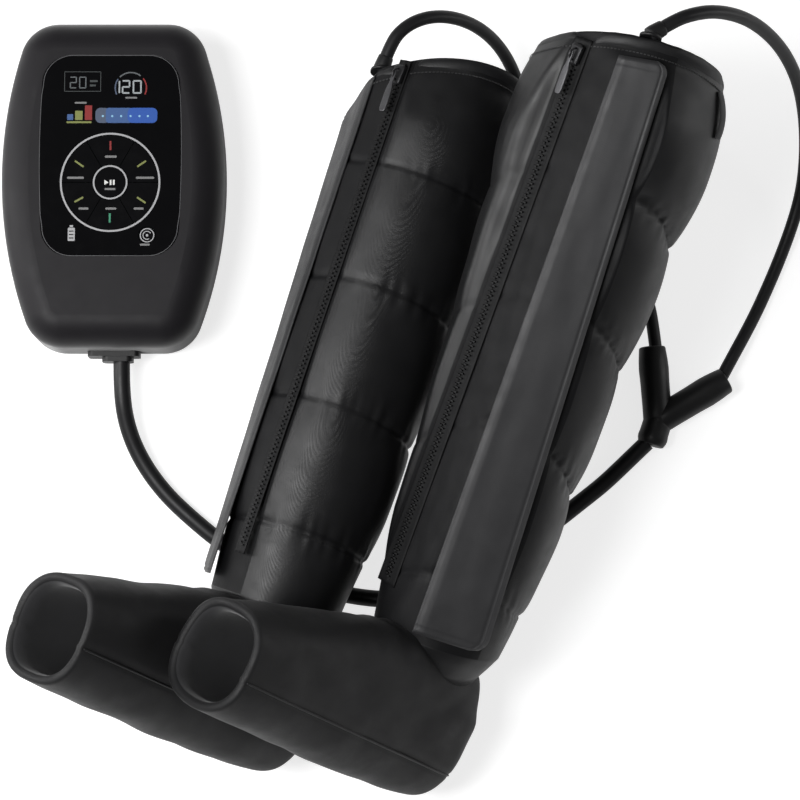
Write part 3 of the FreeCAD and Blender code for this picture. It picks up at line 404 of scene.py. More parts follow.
# ====================================================================================
# boots: the same local frame as the solids (x to the toes, z along the sleeve)
# ====================================================================================
boots = {
    "left": dict(side=-1, ankle=(132.0, -342.0, 69.0), yaw=18.5, rise=1.1, roll=50.0,
                 pitch=3.0, length=440.0, first_seam=56.0, chamber=97.0,
                 lobes=(63.5, 67.0, 71.0, 75.0), rim=(24.0, -77.0, 14.0),
                 zip=(-10.0, -4.0), root=(10.0, 18.0), free=(68.0, 72.0), flap_drop=4.0,
                 port=(14.0, -27.0), dome=(13.0, -40.0), seed=3.0),
    "right": dict(side=1, ankle=(261.0, -365.0, 73.5), yaw=19.2, rise=13.5, roll=49.0,
                  pitch=12.0, length=482.0, first_seam=37.0, chamber=103.4,
                  lobes=(65.0, 69.5, 75.0, 83.0), rim=(18.0, 60.0, 8.0),
                  zip=(4.0, -27.0), root=(30.0, 23.0), free=(60.0, 79.0), flap_drop=17.0,
                  port=(45.0, 43.0), dome=(45.0, 41.0), seed=11.0),
}
front_radii = (71.0, 62.0)
free_radii = (76.0, 65.0)
seam_radii = (57.0, 63.0, 67.0, 71.0)
rim_radius = 68.0
lining_rim_radius = 62.0
port_radius = 64.4
ankle_radius = 52.0
zip_share = 0.25
tape_share = 0.17
far_away = 999.0


def polar(angle, radius, side):
    turn = math.radians(angle)
    return Vector((radius * math.cos(turn), side * radius * math.sin(turn), 0.0))


def at_height(boot, angle, radius, u):
    point = polar(angle, radius, boot["side"])
    point.z = u
    return point


def angle_of(boot, point):
    return math.degrees(math.atan2(boot["side"] * point.y, point.x))


def wrapped(angle):
    """The same angle between -180 and 180 degrees."""
    return (angle + 180.0) % 360.0 - 180.0


def seam_heights(boot, shift=0.0):
    return [boot["first_seam"] + (i + shift) * boot["chamber"] for i in range(4)]


def outward_from(a, b):
    """The way out of the sleeve, square to the line from a to b."""
    outward = (b - a).cross(Vector((0, 0, 1))).normalized()
    return -outward if outward.dot(a + b) < 0 else outward


def placement(boot):
    yaw, rise, roll = (math.radians(boot[k]) for k in ("yaw", "rise", "roll"))
    along = Vector((math.sin(yaw) * math.cos(rise), math.cos(yaw) * math.cos(rise), math.sin(rise)))
    across = Vector((-math.cos(yaw), math.sin(yaw), 0.0))
    upward = along.cross(across)
    toes = across * math.cos(roll) + upward * math.sin(roll)
    sideways = along.cross(toes)
    matrix = Matrix((toes, sideways, along)).transposed().to_4x4()
    matrix.translation = Vector(boot["ankle"])
    return Matrix.Scale(MM, 4) @ matrix


for boot in boots.values():
    boot["place"] = placement(boot)


def edge_point(boot, angles, radii, u):
    top = polar(angles[0], radii[0], boot["side"])
    bottom = polar(angles[1], radii[1], boot["side"])
    point = bottom.lerp(top, u / boot["length"])
    point.z = u
    return point


def bed_angles(boot):
    spread = zip_share / (1 - zip_share)
    return tuple(z - spread * (r - z) for z, r in zip(boot["zip"], boot["root"]))


def bed_point(boot, share, u):
    start = edge_point(boot, bed_angles(boot), front_radii, u)
    end = edge_point(boot, boot["root"], front_radii, u)
    return start.lerp(end, share)


def zip_line(boot):
    low = bed_point(boot, zip_share, 0.0)
    high = bed_point(boot, zip_share, boot["length"])
    along = (high - low).normalized()
    middle = boot["length"] / 2
    across = bed_point(boot, 1.0, middle) - bed_point(boot, 0.0, middle)
    outward = across.cross(along).normalized()
    if outward.dot(Vector((low.x, low.y, 0))) < 0:
        outward = -outward
    return low, along, outward, (high - low).length


def rim_level(boot, point):
    """Height of the slanted rim over a point in plan."""
    tilt, toward, drop = boot["rim"]
    high_side = polar(toward, 1.0, boot["side"])
    slant = Vector((point.x, point.y, 0)).dot(high_side) * math.tan(math.radians(tilt))
    return boot["length"] - drop + slant


def rim_height(boot, angle, share, radius):
    """Height of a ring at this share of the sleeve: the rings lean over towards the rim."""
    rise = rim_level(boot, polar(angle, radius, boot["side"])) - boot["length"]
    return share * boot["length"] + rise * max(0.0, (share - 0.76) / 0.24) ** 1.5


def lobe_radius(boot, u, fullness=2.3):
    """Outer radius of the sleeve at height u, and the distance to the nearest seam."""
    seams = seam_heights(boot)
    knots = list(zip(seams, seam_radii)) + [(boot["length"], rim_radius)]
    near = min(abs(u - s) for s in seams)
    if u <= seams[0]:
        share = max(0.0, u / seams[0])
        return ankle_radius + (seam_radii[0] - ankle_radius) * share, near
    for (u0, r0), (u1, r1), lobe in zip(knots, knots[1:], boot["lobes"]):
        if u <= u1:
            t = (u - u0) / (u1 - u0)
            crown = lobe - (r0 + r1) / 2
            swell = 1.0 - abs(2 * t - 1) ** fullness
            return r0 + (r1 - r0) * t + crown * swell, near
    return rim_radius, near


def pad_radius(boot, u):
    """A plain line over the crowns of the swellings, drawn in at both ends."""
    crowns = list(zip(seam_heights(boot, 0.5), boot["lobes"]))
    knots = [(0.0, ankle_radius)] + crowns + [(boot["length"], rim_radius)]
    for (u0, r0), (u1, r1) in zip(knots, knots[1:]):
        if u <= u1:
            return r0 + (r1 - r0) * max(0.0, (u - u0) / (u1 - u0)) - 1.0
    return rim_radius - 1.0


def smooth_min(a, b, k):
    h = max(0.0, min(1.0, 0.5 + 0.5 * (b - a) / k))
    return b * (1 - h) + a * h - k * h * (1 - h)


def facet_limit(boot, angle, u):
    """How far out the sleeve reaches under the zip and the flap, and beside them."""
    corners = [bed_point(boot, 0.0, u), bed_point(boot, 1.0, u),
               edge_point(boot, tuple(a + 3.0 for a in boot["free"]), free_radii, u)]
    # beside the two flat faces the padding rolls over to its full swelling
    for corner, sign, span in ((corners[0], -1.0, 13.0), (corners[2], 1.0, 4.5)):
        past = wrapped(sign * (angle - angle_of(boot, corner)))
        if 0.0 < past < span:
            return math.hypot(corner.x, corner.y) + 16.0 * math.sin(0.5 * math.pi * past / span) ** 1.4
    direction = polar(angle, 1.0, boot["side"])
    for a, b in zip(corners, corners[1:]):
        a2 = Vector((a.x, a.y))
        d2 = Vector((b.x - a.x, b.y - a.y))
        cross = direction.x * d2.y - direction.y * d2.x
        if abs(cross) < 1e-9:
            continue
        distance = (a2.x * d2.y - a2.y * d2.x) / cross
        along = (a2.x * direction.y - a2.y * direction.x) / cross
        if distance > 0 and -0.0001 <= along <= 1.0001:
            return distance
    return far_away


def sleeve_point(boot, angle, u, out=0.0, creases=True):
    """A point of the sleeve's outer surface with its swellings, seams and wrinkles."""
    dome, toward = boot["dome"]
    arch = dome * max(0.0, math.cos(math.radians(angle - toward))) ** 1.3
    arch *= max(0.0, min(1.0, u / 120.0, (boot["length"] - 30.0 - u) / 80.0))
    radius, near = lobe_radius(boot, u - arch)
    limit = facet_limit(boot, angle, u)
    # the roll beside the zip is one long pad, so the seams hardly draw it in
    beside = wrapped(angle_of(boot, bed_point(boot, 0.0, u)) - angle)
    pad = 0.75 * math.exp(-((beside - 17.0) / 20.0) ** 2)
    lobed = radius + (pad_radius(boot, u) - radius) * pad
    seed = boot["seed"]
    arc = math.radians(angle) * radius
    if creases:
        pucker = math.exp(-(near / 11.0) ** 2) * (1.0 - pad)
        lobed -= 1.6 * math.exp(-(near / 2.2) ** 2) * (1.0 - pad)
        lobed += 1.5 * pucker * noise.noise(Vector((arc / 7.0, u / 60.0, seed)))
        lobed += 1.1 * noise.noise(Vector((arc / 30.0, u / 45.0, seed + 5.0)))
        if limit < far_away:
            limit -= 1.1 * math.exp(-(near / 2.5) ** 2) * (1.0 - pad)
            limit += 0.7 * noise.noise(Vector((arc / 14.0, u / 40.0, seed + 9.0)))
    reach = smooth_min(lobed, limit, 3.0 + 5.0 * pad) if limit < far_away else lobed
    return at_height(boot, angle, reach + out, u)


def sleeve_shares(boot, low, rows):
    """Rows are closer together at the seams."""
    heights = []
    steps = [low] + seam_heights(boot) + [boot["length"]]
    for a, b in zip(steps, steps[1:]):
        for i in range(rows):
            t = i / rows
            heights.append(a + (b - a) * (t - 0.11 * math.sin(2 * math.pi * t)))
    return [h / boot["length"] for h in heights] + [1.0]


def make_cover(label):
    """The outer cloth of the sleeve with its four swellings and its front panel, darkened with painted shade.
    """
    boot = boots[label]
    columns, front = 224, 72

    def column_angle(j, share):
        """The first columns lie between the zip's bed and the far side of the flap."""
        u = share * boot["length"]
        # the front columns, and with them the darker panel cloth, reach 6 degrees past the flap's free edge:
        # painted shadow in the gap there
        past_flap = tuple(a + 6.0 for a in boot["free"])
        first = angle_of(boot, bed_point(boot, 0.0, u))
        last = angle_of(boot, edge_point(boot, past_flap, free_radii, u))
        if j < front:
            return wrapped(first + (last - first) * j / front)
        return wrapped(last + (360.0 - last + first) * (j - front) / (columns - front))

    # the lower end is gathered into the foot
    rings = []
    for drop, radius in ((26.0, 38.0), (18.0, 42.0), (9.0, 47.0)):
        rings.append([boot["place"] @ at_height(boot, column_angle(j, 0.0), radius, -drop)
                      for j in range(columns)])
    for share in sleeve_shares(boot, 1.0, 36):
        ring = []
        for j in range(columns):
            angle = column_angle(j, share)
            u = rim_height(boot, angle, share, rim_radius)
            ring.append(boot["place"] @ sleeve_point(boot, angle, u))
        rings.append(ring)
    cover = closed_tube("leg_cover_skin_" + label, rings, satin_skin, "set", capped=False)
    # the front panel is a darker cloth: painted shade on the front panel, and painted shadow in the gap past
    # the flap's free edge
    cover.data.materials.append(panel_shade_skin)
    first_row = 5
    for polygon in cover.data.polygons:
        row = polygon.vertices[0] // columns
        if row >= first_row and max(v % columns for v in polygon.vertices) <= front:
            polygon.material_index = 1
    thicken(cover, 0.0012, -1.0)
    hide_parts("leg_cover_" + label, "front_panel_" + label, "air_bladders_" + label)


def lining_radius(boot, u):
    seam = boot["first_seam"]
    if u < seam:
        return 43.0 + 3.5 * max(0.0, u) / seam
    return 46.5 + 15.5 * (u - seam) / (boot["length"] - seam)


def make_lining(label):
    boot = boots[label]
    columns, rows = 96, 40
    base_radius, base_drop = 36.0, 26.0
    rings = [[boot["place"] @ at_height(boot, 360.0 * j / columns, base_radius, -base_drop)
              for j in range(columns)]]
    for i in range(rows):
        ring = []
        for j in range(columns):
            angle = 360.0 * j / columns
            u = rim_height(boot, angle, i / (rows - 1), lining_rim_radius)
            radius = lining_radius(boot, u) - 0.6
            radius += 0.9 * noise.noise(Vector((angle / 9.0, u / 26.0, boot["seed"] + 20.0)))
            ring.append(boot["place"] @ at_height(boot, angle, radius, u))
        rings.append(ring)
    lining = closed_tube("leg_lining_skin_" + label, rings, lining_skin, "set", capped=False)
    thicken(lining, 0.0010, 1.0)
    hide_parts("leg_lining_" + label)


def rim_path(boot, angle, radius):
    point = polar(angle, radius, boot["side"])
    point.z = rim_level(boot, point)
    return point


def rim_angle(boot, share):
    """Round the rim from one side of the zip to the other."""
    return wrapped(boot["zip"][0] + 5.0 + 350.0 * share)


def make_binding(label):
    """The padded band folded over the rim; its two ends turn down beside the zip."""
    boot = boots[label]
    rings = []
    columns = 216
    half_height = 5.6
    section = []
    for i in range(16):
        a = 2 * math.pi * i / 16
        section.append((bowed(math.cos(a), 0.75), half_height * bowed(math.sin(a), 0.8)))
    for j in range(columns + 1):
        angle = rim_angle(boot, j / columns)
        near_end = max(0.0, 1.0 - 350.0 * min(j, columns - j) / columns / 7.0)
        level = rim_height(boot, angle, 1.0, rim_radius)
        outer = sleeve_point(boot, angle, level - 3.0, creases=False)
        outer_radius = math.hypot(outer.x, outer.y)
        middle = (outer_radius + 61.4) / 2
        half = max((outer_radius + 1.0 - 61.0) / 2, 3.4) * (1.0 - 0.35 * near_end ** 2)
        wave = 0.5 * noise.noise(Vector((angle / 9.0, boot["seed"], 2.0)))
        ring = []
        for dx, dz in section:
            point = rim_path(boot, angle, middle + dx * half)
            point.z += dz * (1.0 - 0.4 * near_end ** 2) - 4.6 + wave - 7.0 * near_end ** 2
            ring.append(boot["place"] @ point)
        rings.append(ring)
    band = closed_tube("rim_binding_roll_" + label, rings, binding_skin, "set")
    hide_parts("rim_binding_" + label)
    # a row of stitches under the band
    stitches = []
    faces = []
    count = 150
    for j in range(count):
        base = len(stitches)
        for share in (j / count, (j + 0.62) / count):
            angle = rim_angle(boot, share)
            level = rim_height(boot, angle, 1.0, rim_radius) - 12.0
            for lift, out in ((-0.45, 0.0), (0.45, 0.0), (0.45, 0.5), (-0.45, 0.5)):
                point = sleeve_point(boot, angle, level + lift, out=0.35 + out)
                stitches.append(boot["place"] @ point)
        faces += prism_faces(base, 4)
    row = from_faces("rim_stitches_" + label, stitches, faces, thread_skin, "set", smooth=False)


def strip_mesh(name, boot, surface, rows, half_across, profile, material, body):
    """A padded strip: surface(share, t) gives (point, outward), profile its thickness."""
    columns = half_across * 2 + 1
    top = []
    bottom = []
    for i in range(rows):
        t = i / (rows - 1)
        for j in range(columns):
            share = j / (columns - 1)
            point, outward = surface(share, t)
            top.append(boot["place"] @ (point + outward * profile(share, t)))
            bottom.append(boot["place"] @ point)
    points = top + bottom
    count = rows * columns
    faces = grid_faces(rows, columns)
    faces += [tuple(count + k for k in reversed(f)) for f in grid_faces(rows, columns)]
    for i in range(rows - 1):
        for j in (0, columns - 1):
            a = i * columns + j
            b = (i + 1) * columns + j
            faces.append((a, b, count + b, count + a))
    for j in range(columns - 1):
        for i in (0, rows - 1):
            a = i * columns + j
            faces.append((a, a + 1, count + a + 1, count + a))
    return from_faces(name, points, faces, material, body)


def make_flap(label):
    """The padded strip over the front, sewn at its root, with a hem on its free edge; the hem's lighter cloth
    is a painted highlight.
    """
    boot = boots[label]
    low = 10.0
    low_corner, high_corner = 13.0, 9.0

    def edges(u):
        return (edge_point(boot, boot["root"], front_radii, u),
                edge_point(boot, boot["free"], free_radii, u))

    def surface(share, t):
        a, b = edges(boot["length"])
        u = low + (rim_level(boot, a.lerp(b, share)) - boot["flap_drop"] - low) * t
        rise, drop = (u - low), (1.0 - t) * (boot["length"] - low)
        a, b = edges(u)
        outward = outward_from(a, b)
        width = (b - a).length
        reach = share
        # the two free corners are rounded
        for corner, off in ((low_corner, rise), (high_corner, drop)):
            if off < corner:
                cut = corner - math.sqrt(max(0.0, corner ** 2 - (corner - off) ** 2))
                reach = share * (width - cut) / width
        lift = 0.6 + 0.35 * noise.noise(Vector((share * 2.0, u / 55.0, boot["seed"])))
        return a.lerp(b, reach) + outward * max(0.25, lift), outward

    def profile(share, t):
        """Thin at the edges, with a stitched groove beside them; softer at the root."""
        roundness, groove = (3.5, 0.15) if share < 0.5 else (1.6, 0.5)
        edge = min(share, 1.0 - share) * 48.0
        crown = 3.3 - 2.0 * math.exp(-(edge / roundness) ** 2)
        crown -= groove * math.exp(-((edge - 5.0) / 0.9) ** 2)
        crown += 0.45 * noise.noise(Vector((share * 3.0, t * 9.0, boot["seed"] + 31.0)))
        ends = min(t, 1.0 - t) * 430.0
        crown -= 1.8 * math.exp(-(ends / 1.6) ** 2)
        return max(0.6, crown - 0.7 * math.exp(-((ends - 5.0) / 0.9) ** 2))

    half_across, hem_highlight_columns = 24, 4
    flap = strip_mesh("flap_panel_" + label, boot, surface, 260, half_across, profile, flap_skin,
                      "flap_" + label + "_body")
    # the hem's lighter cloth is a painted highlight along the flap's free edge
    flap.data.materials.append(hem_highlight_skin)
    columns = 2 * half_across + 1
    for polygon in flap.data.polygons:
        if min(v % columns for v in polygon.vertices) >= columns - hem_highlight_columns:
            polygon.material_index = 1
    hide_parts("flap_" + label)


def on_zip(boot, across_mm, along_mm, up_mm):
    origin, along, outward, _ = zip_line(boot)
    across = outward.cross(along).normalized()
    return boot["place"] @ (origin + across * across_mm + along * along_mm + outward * up_mm)


def make_zip(label):
    boot = boots[label]
    _, _, _, length = zip_line(boot)
    low, high = 38.0, length - 5.0

    def surface(share, t):
        u = 32.0 + (boot["length"] - 34.0) * t
        point = bed_point(boot, zip_share + tape_share * (2 * share - 1), u)
        outward = outward_from(bed_point(boot, 0.0, u), bed_point(boot, 1.0, u))
        return point + outward * 0.2, outward

    def profile(share, t):
        edge = min(share, 1 - share)
        seam = 0.25 * math.exp(-((edge - 0.12) / 0.03) ** 2)
        return 0.9 + seam + 0.5 * math.exp(-((share - 0.5) / 0.12) ** 2)

    tape = strip_mesh("zip_tape_weave_" + label, boot, surface, 150, 10, profile, tape_skin, "set")
    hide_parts("zip_tape_" + label)
    # the coil: teeth from both sides that meet in the middle
    points = []
    faces = []
    pitch = 1.9
    count = int((high - low) / pitch)
    for i in range(count):
        at = low + (i + 0.5) * pitch
        sign = 1.0 if i % 2 else -1.0
        base = len(points)
        for along_mm in (at - 0.55, at + 0.55):
            for across_mm, up_mm in ((-0.5, 1.7), (3.0, 1.7), (3.0, 3.1), (0.6, 3.5), (-0.5, 3.2)):
                points.append(on_zip(boot, sign * across_mm, along_mm, up_mm))
        faces += prism_faces(base, 5)
    coil = from_faces("zip_coil_" + label, points, faces, zip_skin, "set", smooth=False)
    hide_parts("zip_chain_" + label)
    return make_slider(label, high - 2.0)


def make_slider(label, top):
    """The slider's plate, flanges and bridge; gives the place of the pin for the pull."""
    boot = boots[label]
    level, length = 5.85, 16.0
    bottom = top - length
    # the plate is a wedge that is wide at the rim end
    outline = [(0.0, 5.5), (0.12, 5.5), (0.35, 5.3), (0.62, 4.6), (0.86, 4.3), (1.0, 3.6)]
    rings = []
    for share, half in outline:
        squeeze = 0.8 if share in (0.0, 1.0) else 1.0
        ring = []
        for k in range(20):
            a = 2 * math.pi * k / 20
            ring.append(on_zip(boot, half * bowed(math.cos(a), 0.5) * squeeze, top - length * share,
                               level - 1.1 + bowed(math.sin(a), 0.5) * squeeze))
        rings.append(ring)
    slider = closed_tube("zip_slider_top_" + label, rings, slider_skin, "slider_" + label)
    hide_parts("zip_slider_" + label)
    points = []
    faces = []
    for sign in (-1, 1):
        base = len(points)
        wall = ((5.4, top - 1.0), (4.1, top - 1.0), (3.7, bottom + 1.0), (4.4, bottom + 1.0))
        for up_mm in (2.4, level - 0.6):
            points += [on_zip(boot, sign * x, y, up_mm) for x, y in wall]
        faces += prism_faces(base, 4)
    sides = from_faces("zip_slider_flanges_" + label, points, faces, slider_skin, "slider_" + label,
                       smooth=False)
    bevel_edges(sides, 0.0003)
    # the bridge that holds the pull
    pin = bottom + 8.0
    arch = []
    for k in range(13):
        a = math.pi * k / 12
        centre = (pin + 4.4 * math.cos(a), level - 0.4 + 5.0 * math.sin(a))
        ring = []
        for m in range(10):
            b = 2 * math.pi * m / 10
            ring.append(on_zip(boot, 1.05 * math.cos(b), centre[0] + 0.8 * math.sin(b) * math.cos(a),
                               centre[1] + 0.8 * math.sin(b) * math.sin(a)))
        arch.append(ring)
    bridge = closed_tube("zip_slider_bridge_" + label, arch, slider_skin, "slider_" + label)
    return pin, level + 2.8


def make_pull(label, pin, level):
    """A flat tab, narrow behind its eye and wide at its grip: (place, half width)."""
    boot = boots[label]
    widths = [(2.4, 1.2), (2.1, 1.5), (-1.2, 2.1), (-4.0, 1.7), (-8.0, 1.6), (-11.0, 2.7),
              (-14.0, 3.2), (-22.0, 3.4), (-28.0, 3.4), (-31.0, 2.9), (-32.0, 1.8)]
    rings = []
    for at, half in widths:
        ring = []
        for k in range(16):
            a = 2 * math.pi * k / 16
            ring.append(on_zip(boot, half * bowed(math.cos(a), 0.45), pin + at,
                               level + 0.8 * bowed(math.sin(a), 0.7)))
        rings.append(ring)
    pull = closed_tube("zip_pull_tab_" + label, rings, pull_skin, "pull_" + label)
    subdivide(pull, 2)
    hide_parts("zip_pull_" + label)


# ---- foot --------------------------------------------------------------------------
# along the foot, half width, lowest and highest point
foot_stations = [(-60.0, 26.0, -102.0, -52.0), (-51.0, 36.0, -118.0, -24.0), (-34.0, 41.0, -125.0, -4.0),
                 (20.0, 42.0, -127.0, 2.0), (75.0, 43.0, -126.0, -7.0), (130.0, 43.0, -123.0, -18.0),
                 (180.0, 43.0, -121.0, -28.0), (216.0, 41.5, -119.0, -35.0)]


def foot_station(t):
    """Smoothly between the stations, t from 0 at the heel to 1 at the toes."""
    at = t * (len(foot_stations) - 1)
    i = min(int(at), len(foot_stations) - 2)
    f = at - i
    p = [foot_stations[max(0, i - 1)], foot_stations[i], foot_stations[i + 1],
         foot_stations[min(len(foot_stations) - 1, i + 2)]]
    made = []
    for a, b, c, d in zip(*p):
        made.append(0.5 * (2 * b + (c - a) * f + (2 * a - 5 * b + 4 * c - d) * f ** 2
                           + (3 * b - a - 3 * c + d) * f ** 3))
    return made


def seam_height(x):
    return -95.0 + 12.0 * (x + 64.0) / 280.0


def foot_ring(x, half, low, high, shrink, columns):
    """Points round the foot; half of them lie above the seam and half below."""
    power = 2.5
    half = half - shrink
    middle = (low + high) / 2
    rise = (high - low) / 2 - shrink
    level = max(-0.9, min(0.0, (seam_height(x) - middle) / rise))
    start = -math.asin(abs(level) ** (power / 2))
    ring = []
    upper = columns // 2
    for j in range(columns):
        if j < upper:
            t = start + (math.pi - 2 * start) * j / upper
        else:
            t = math.pi - start + (math.pi + 2 * start) * (j - upper) / (columns - upper)
        ring.append(Vector((x, half * bowed(math.cos(t), 2 / power),
                            middle + rise * bowed(math.sin(t), 2 / power))))
    return ring


def foot_folds(p, seed):
    """How far the foot's cloth stands out at p: its swell, its folds and its seam."""
    lift = 1.3 * noise.noise(Vector((p.x / 34.0, p.y / 30.0, p.z / 30.0 + seed)))
    # folds where the sleeve bends into the heel
    heel = math.exp(-((p.x + 30.0) / 34.0) ** 2)
    fold = math.sin((p.z + 0.35 * p.x) / 6.0 + 2.0 * noise.noise(p / 40.0))
    lift += 1.5 * heel * fold * max(0.0, min(1.0, (p.z + 100.0) / 50.0))
    instep = math.exp(-((p.x - 62.0) / 26.0) ** 2) * max(0.0, (p.z + 40.0) / 40.0)
    lift += 1.3 * instep * math.sin(p.x / 5.0 + 1.5 * noise.noise(p / 30.0))
    return lift - 1.2 * math.exp(-((p.z - seam_height(p.x)) / 1.8) ** 2)


def make_foot(label):
    """Upper, sole, padded toe opening and inside as one skin, with piping on the seam."""
    boot = boots[label]
    place = boot["place"] @ Matrix.Rotation(math.radians(-boot["pitch"]), 4, "Y")
    columns, steps = 96, 84
    upper = columns // 2
    rings = []
    x, half, low, high = foot_station(0.0)
    for share in (0.12, 0.35, 0.6, 0.82):
        bulge = 7.0 * (1 - share ** 2)
        middle = (low + high) / 2
        rings.append(foot_ring(x - bulge, half * share, middle + (low - middle) * share,
                               middle + (high - middle) * share, 0.0, columns))
    for i in range(steps + 1):
        rings.append(foot_ring(*foot_station(i / steps), 0.0, columns))
    # the padded lip of the toe opening, then the inside back towards the heel
    x, half, low, high = foot_station(1.0)
    for out, shrink in ((1.6, 0.5), (2.6, 1.9), (2.9, 3.6), (2.4, 5.4), (0.8, 7.0), (-2.0, 8.0), (-6.0, 8.6)):
        rings.append(foot_ring(x + out, half, low, high, shrink, columns))
    inner_from = len(rings)
    for i in range(1, 40):
        x, half, low, high = foot_station(1.0 - 0.84 * i / 39)
        rings.append(foot_ring(x - 6.0, half, low, high, 9.0, columns))
    for ring in rings[:inner_from]:
        middle = (ring[0].z + ring[upper].z) / 2 + 20.0
        for p in ring:
            p += Vector((0.0, p.y, p.z - middle)).normalized() * foot_folds(p, boot["seed"])
    placed = [[place @ p for p in ring] for ring in rings]
    foot = closed_tube("foot_body_" + label, placed, foot_skin, "set")
    foot.data.materials.append(sole_skin)
    foot.data.materials.append(lining_skin)
    for polygon in foot.data.polygons:
        ring_index, column = divmod(min(polygon.vertices), columns)
        if ring_index >= inner_from - 3:
            polygon.material_index = 2
        elif column >= upper and len(polygon.vertices) == 4:
            polygon.material_index = 1
    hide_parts("foot_upper_" + label, "foot_sole_" + label)
    # piping along the seam on both sides
    for sign, name in ((1, "outer"), (-1, "inner")):
        line = []
        for i in range(2, steps + 1):
            ring = foot_ring(*foot_station(i / steps), 0.0, columns)
            p = ring[0] if sign > 0 else ring[upper]
            line.append(p + Vector((0, sign * -0.3, 0)))
        made = []
        for a, p in enumerate(line):
            ahead = line[min(a + 1, len(line) - 1)] - line[max(a - 1, 0)]
            ahead.normalize()
            u1 = ahead.cross(Vector((0, 0, 1))).normalized()
            u2 = ahead.cross(u1)
            made.append([place @ (p + u1 * (0.9 * math.cos(2 * math.pi * k / 8))
                                  + u2 * (0.9 * math.sin(2 * math.pi * k / 8))) for k in range(8)])
        piping = closed_tube("foot_piping_" + name + "_" + label, made, binding_skin, "set")


def make_loop(label):
    """A folded webbing tab sewn at the rim."""
    boot = boots[label]
    angle, half_width, length, steps = 112.0, 6.5, 34.0, 22
    middle = rim_level(boot, polar(angle, rim_radius, boot["side"])) - 30.0
    rings = []
    for i in range(steps + 1):
        t = i / steps
        u = middle + length * (t - 0.5)
        lift = 0.9 + 2.4 * math.sin(math.pi * t) ** 0.8
        ring = []
        for k in range(12):
            b = 2 * math.pi * k / 12
            turn = math.degrees(half_width * bowed(math.cos(b), 0.4) / 75.0)
            base = sleeve_point(boot, angle + turn, u, creases=False)
            outward = Vector((base.x, base.y, 0)).normalized()
            ring.append(boot["place"] @ (base + outward * (lift + 1.0 * math.sin(b))))
        rings.append(ring)
    loop = closed_tube("hanging_loop_webbing_" + label, rings, webbing_skin, "set")
    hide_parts("hanging_loop_" + label)


def nozzle(boot):
    """The port's foot, its way out, its knee and the way of its leaning nozzle."""
    at, lean = boot["port"]
    tilt = math.radians(boot["rim"][0])
    high_side = polar(boot["rim"][1], 1.0, boot["side"])
    normal = high_side * -math.sin(tilt) + Vector((0, 0, math.cos(tilt)))
    base = rim_path(boot, at, port_radius) + normal * 1.6
    round_rim = polar(at + 90.0, 1.0, boot["side"])
    lean = math.radians(lean)
    direction = (normal * math.cos(lean) + round_rim * math.sin(lean)).normalized()
    return base, normal, base + normal * 3.0, direction


def turned_rings(start, direction, profile, count, place):
    """Rings of a turned piece: profile of (distance, radius) from start along direction."""
    side = direction.orthogonal().normalized()
    other = direction.cross(side)
    rings = []
    for distance, radius in profile:
        rings.append([place @ (start + direction * distance
                               + side * (radius * math.cos(2 * math.pi * k / count))
                               + other * (radius * math.sin(2 * math.pi * k / count)))
                      for k in range(count)])
    return rings


def make_port(label):
    place = boots[label]["place"]
    base, normal, knee, direction = nozzle(boots[label])
    profile = [(0.0, 8.0), (0.0, 8.5), (1.8, 8.5), (2.6, 8.1), (3.0, 7.2)]
    rings = turned_rings(base, normal, profile, 32, place)
    flange = closed_tube("hose_port_flange_" + label, rings, black_skin, "set")
    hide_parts("hose_port_" + label)
    profile = [(-2.0, 6.2), (1.0, 6.6), (4.0, 6.5), (9.6, 6.1), (10.6, 5.9), (11.0, 5.5)]
    rings = turned_rings(knee, direction, profile, 32, place)
    tip = closed_tube("hose_port_nozzle_" + label, rings, black_skin, "set")
    end, _ = profile[-1]
    return place @ (knee + direction * end), (place.to_3x3() @ direction).normalized()


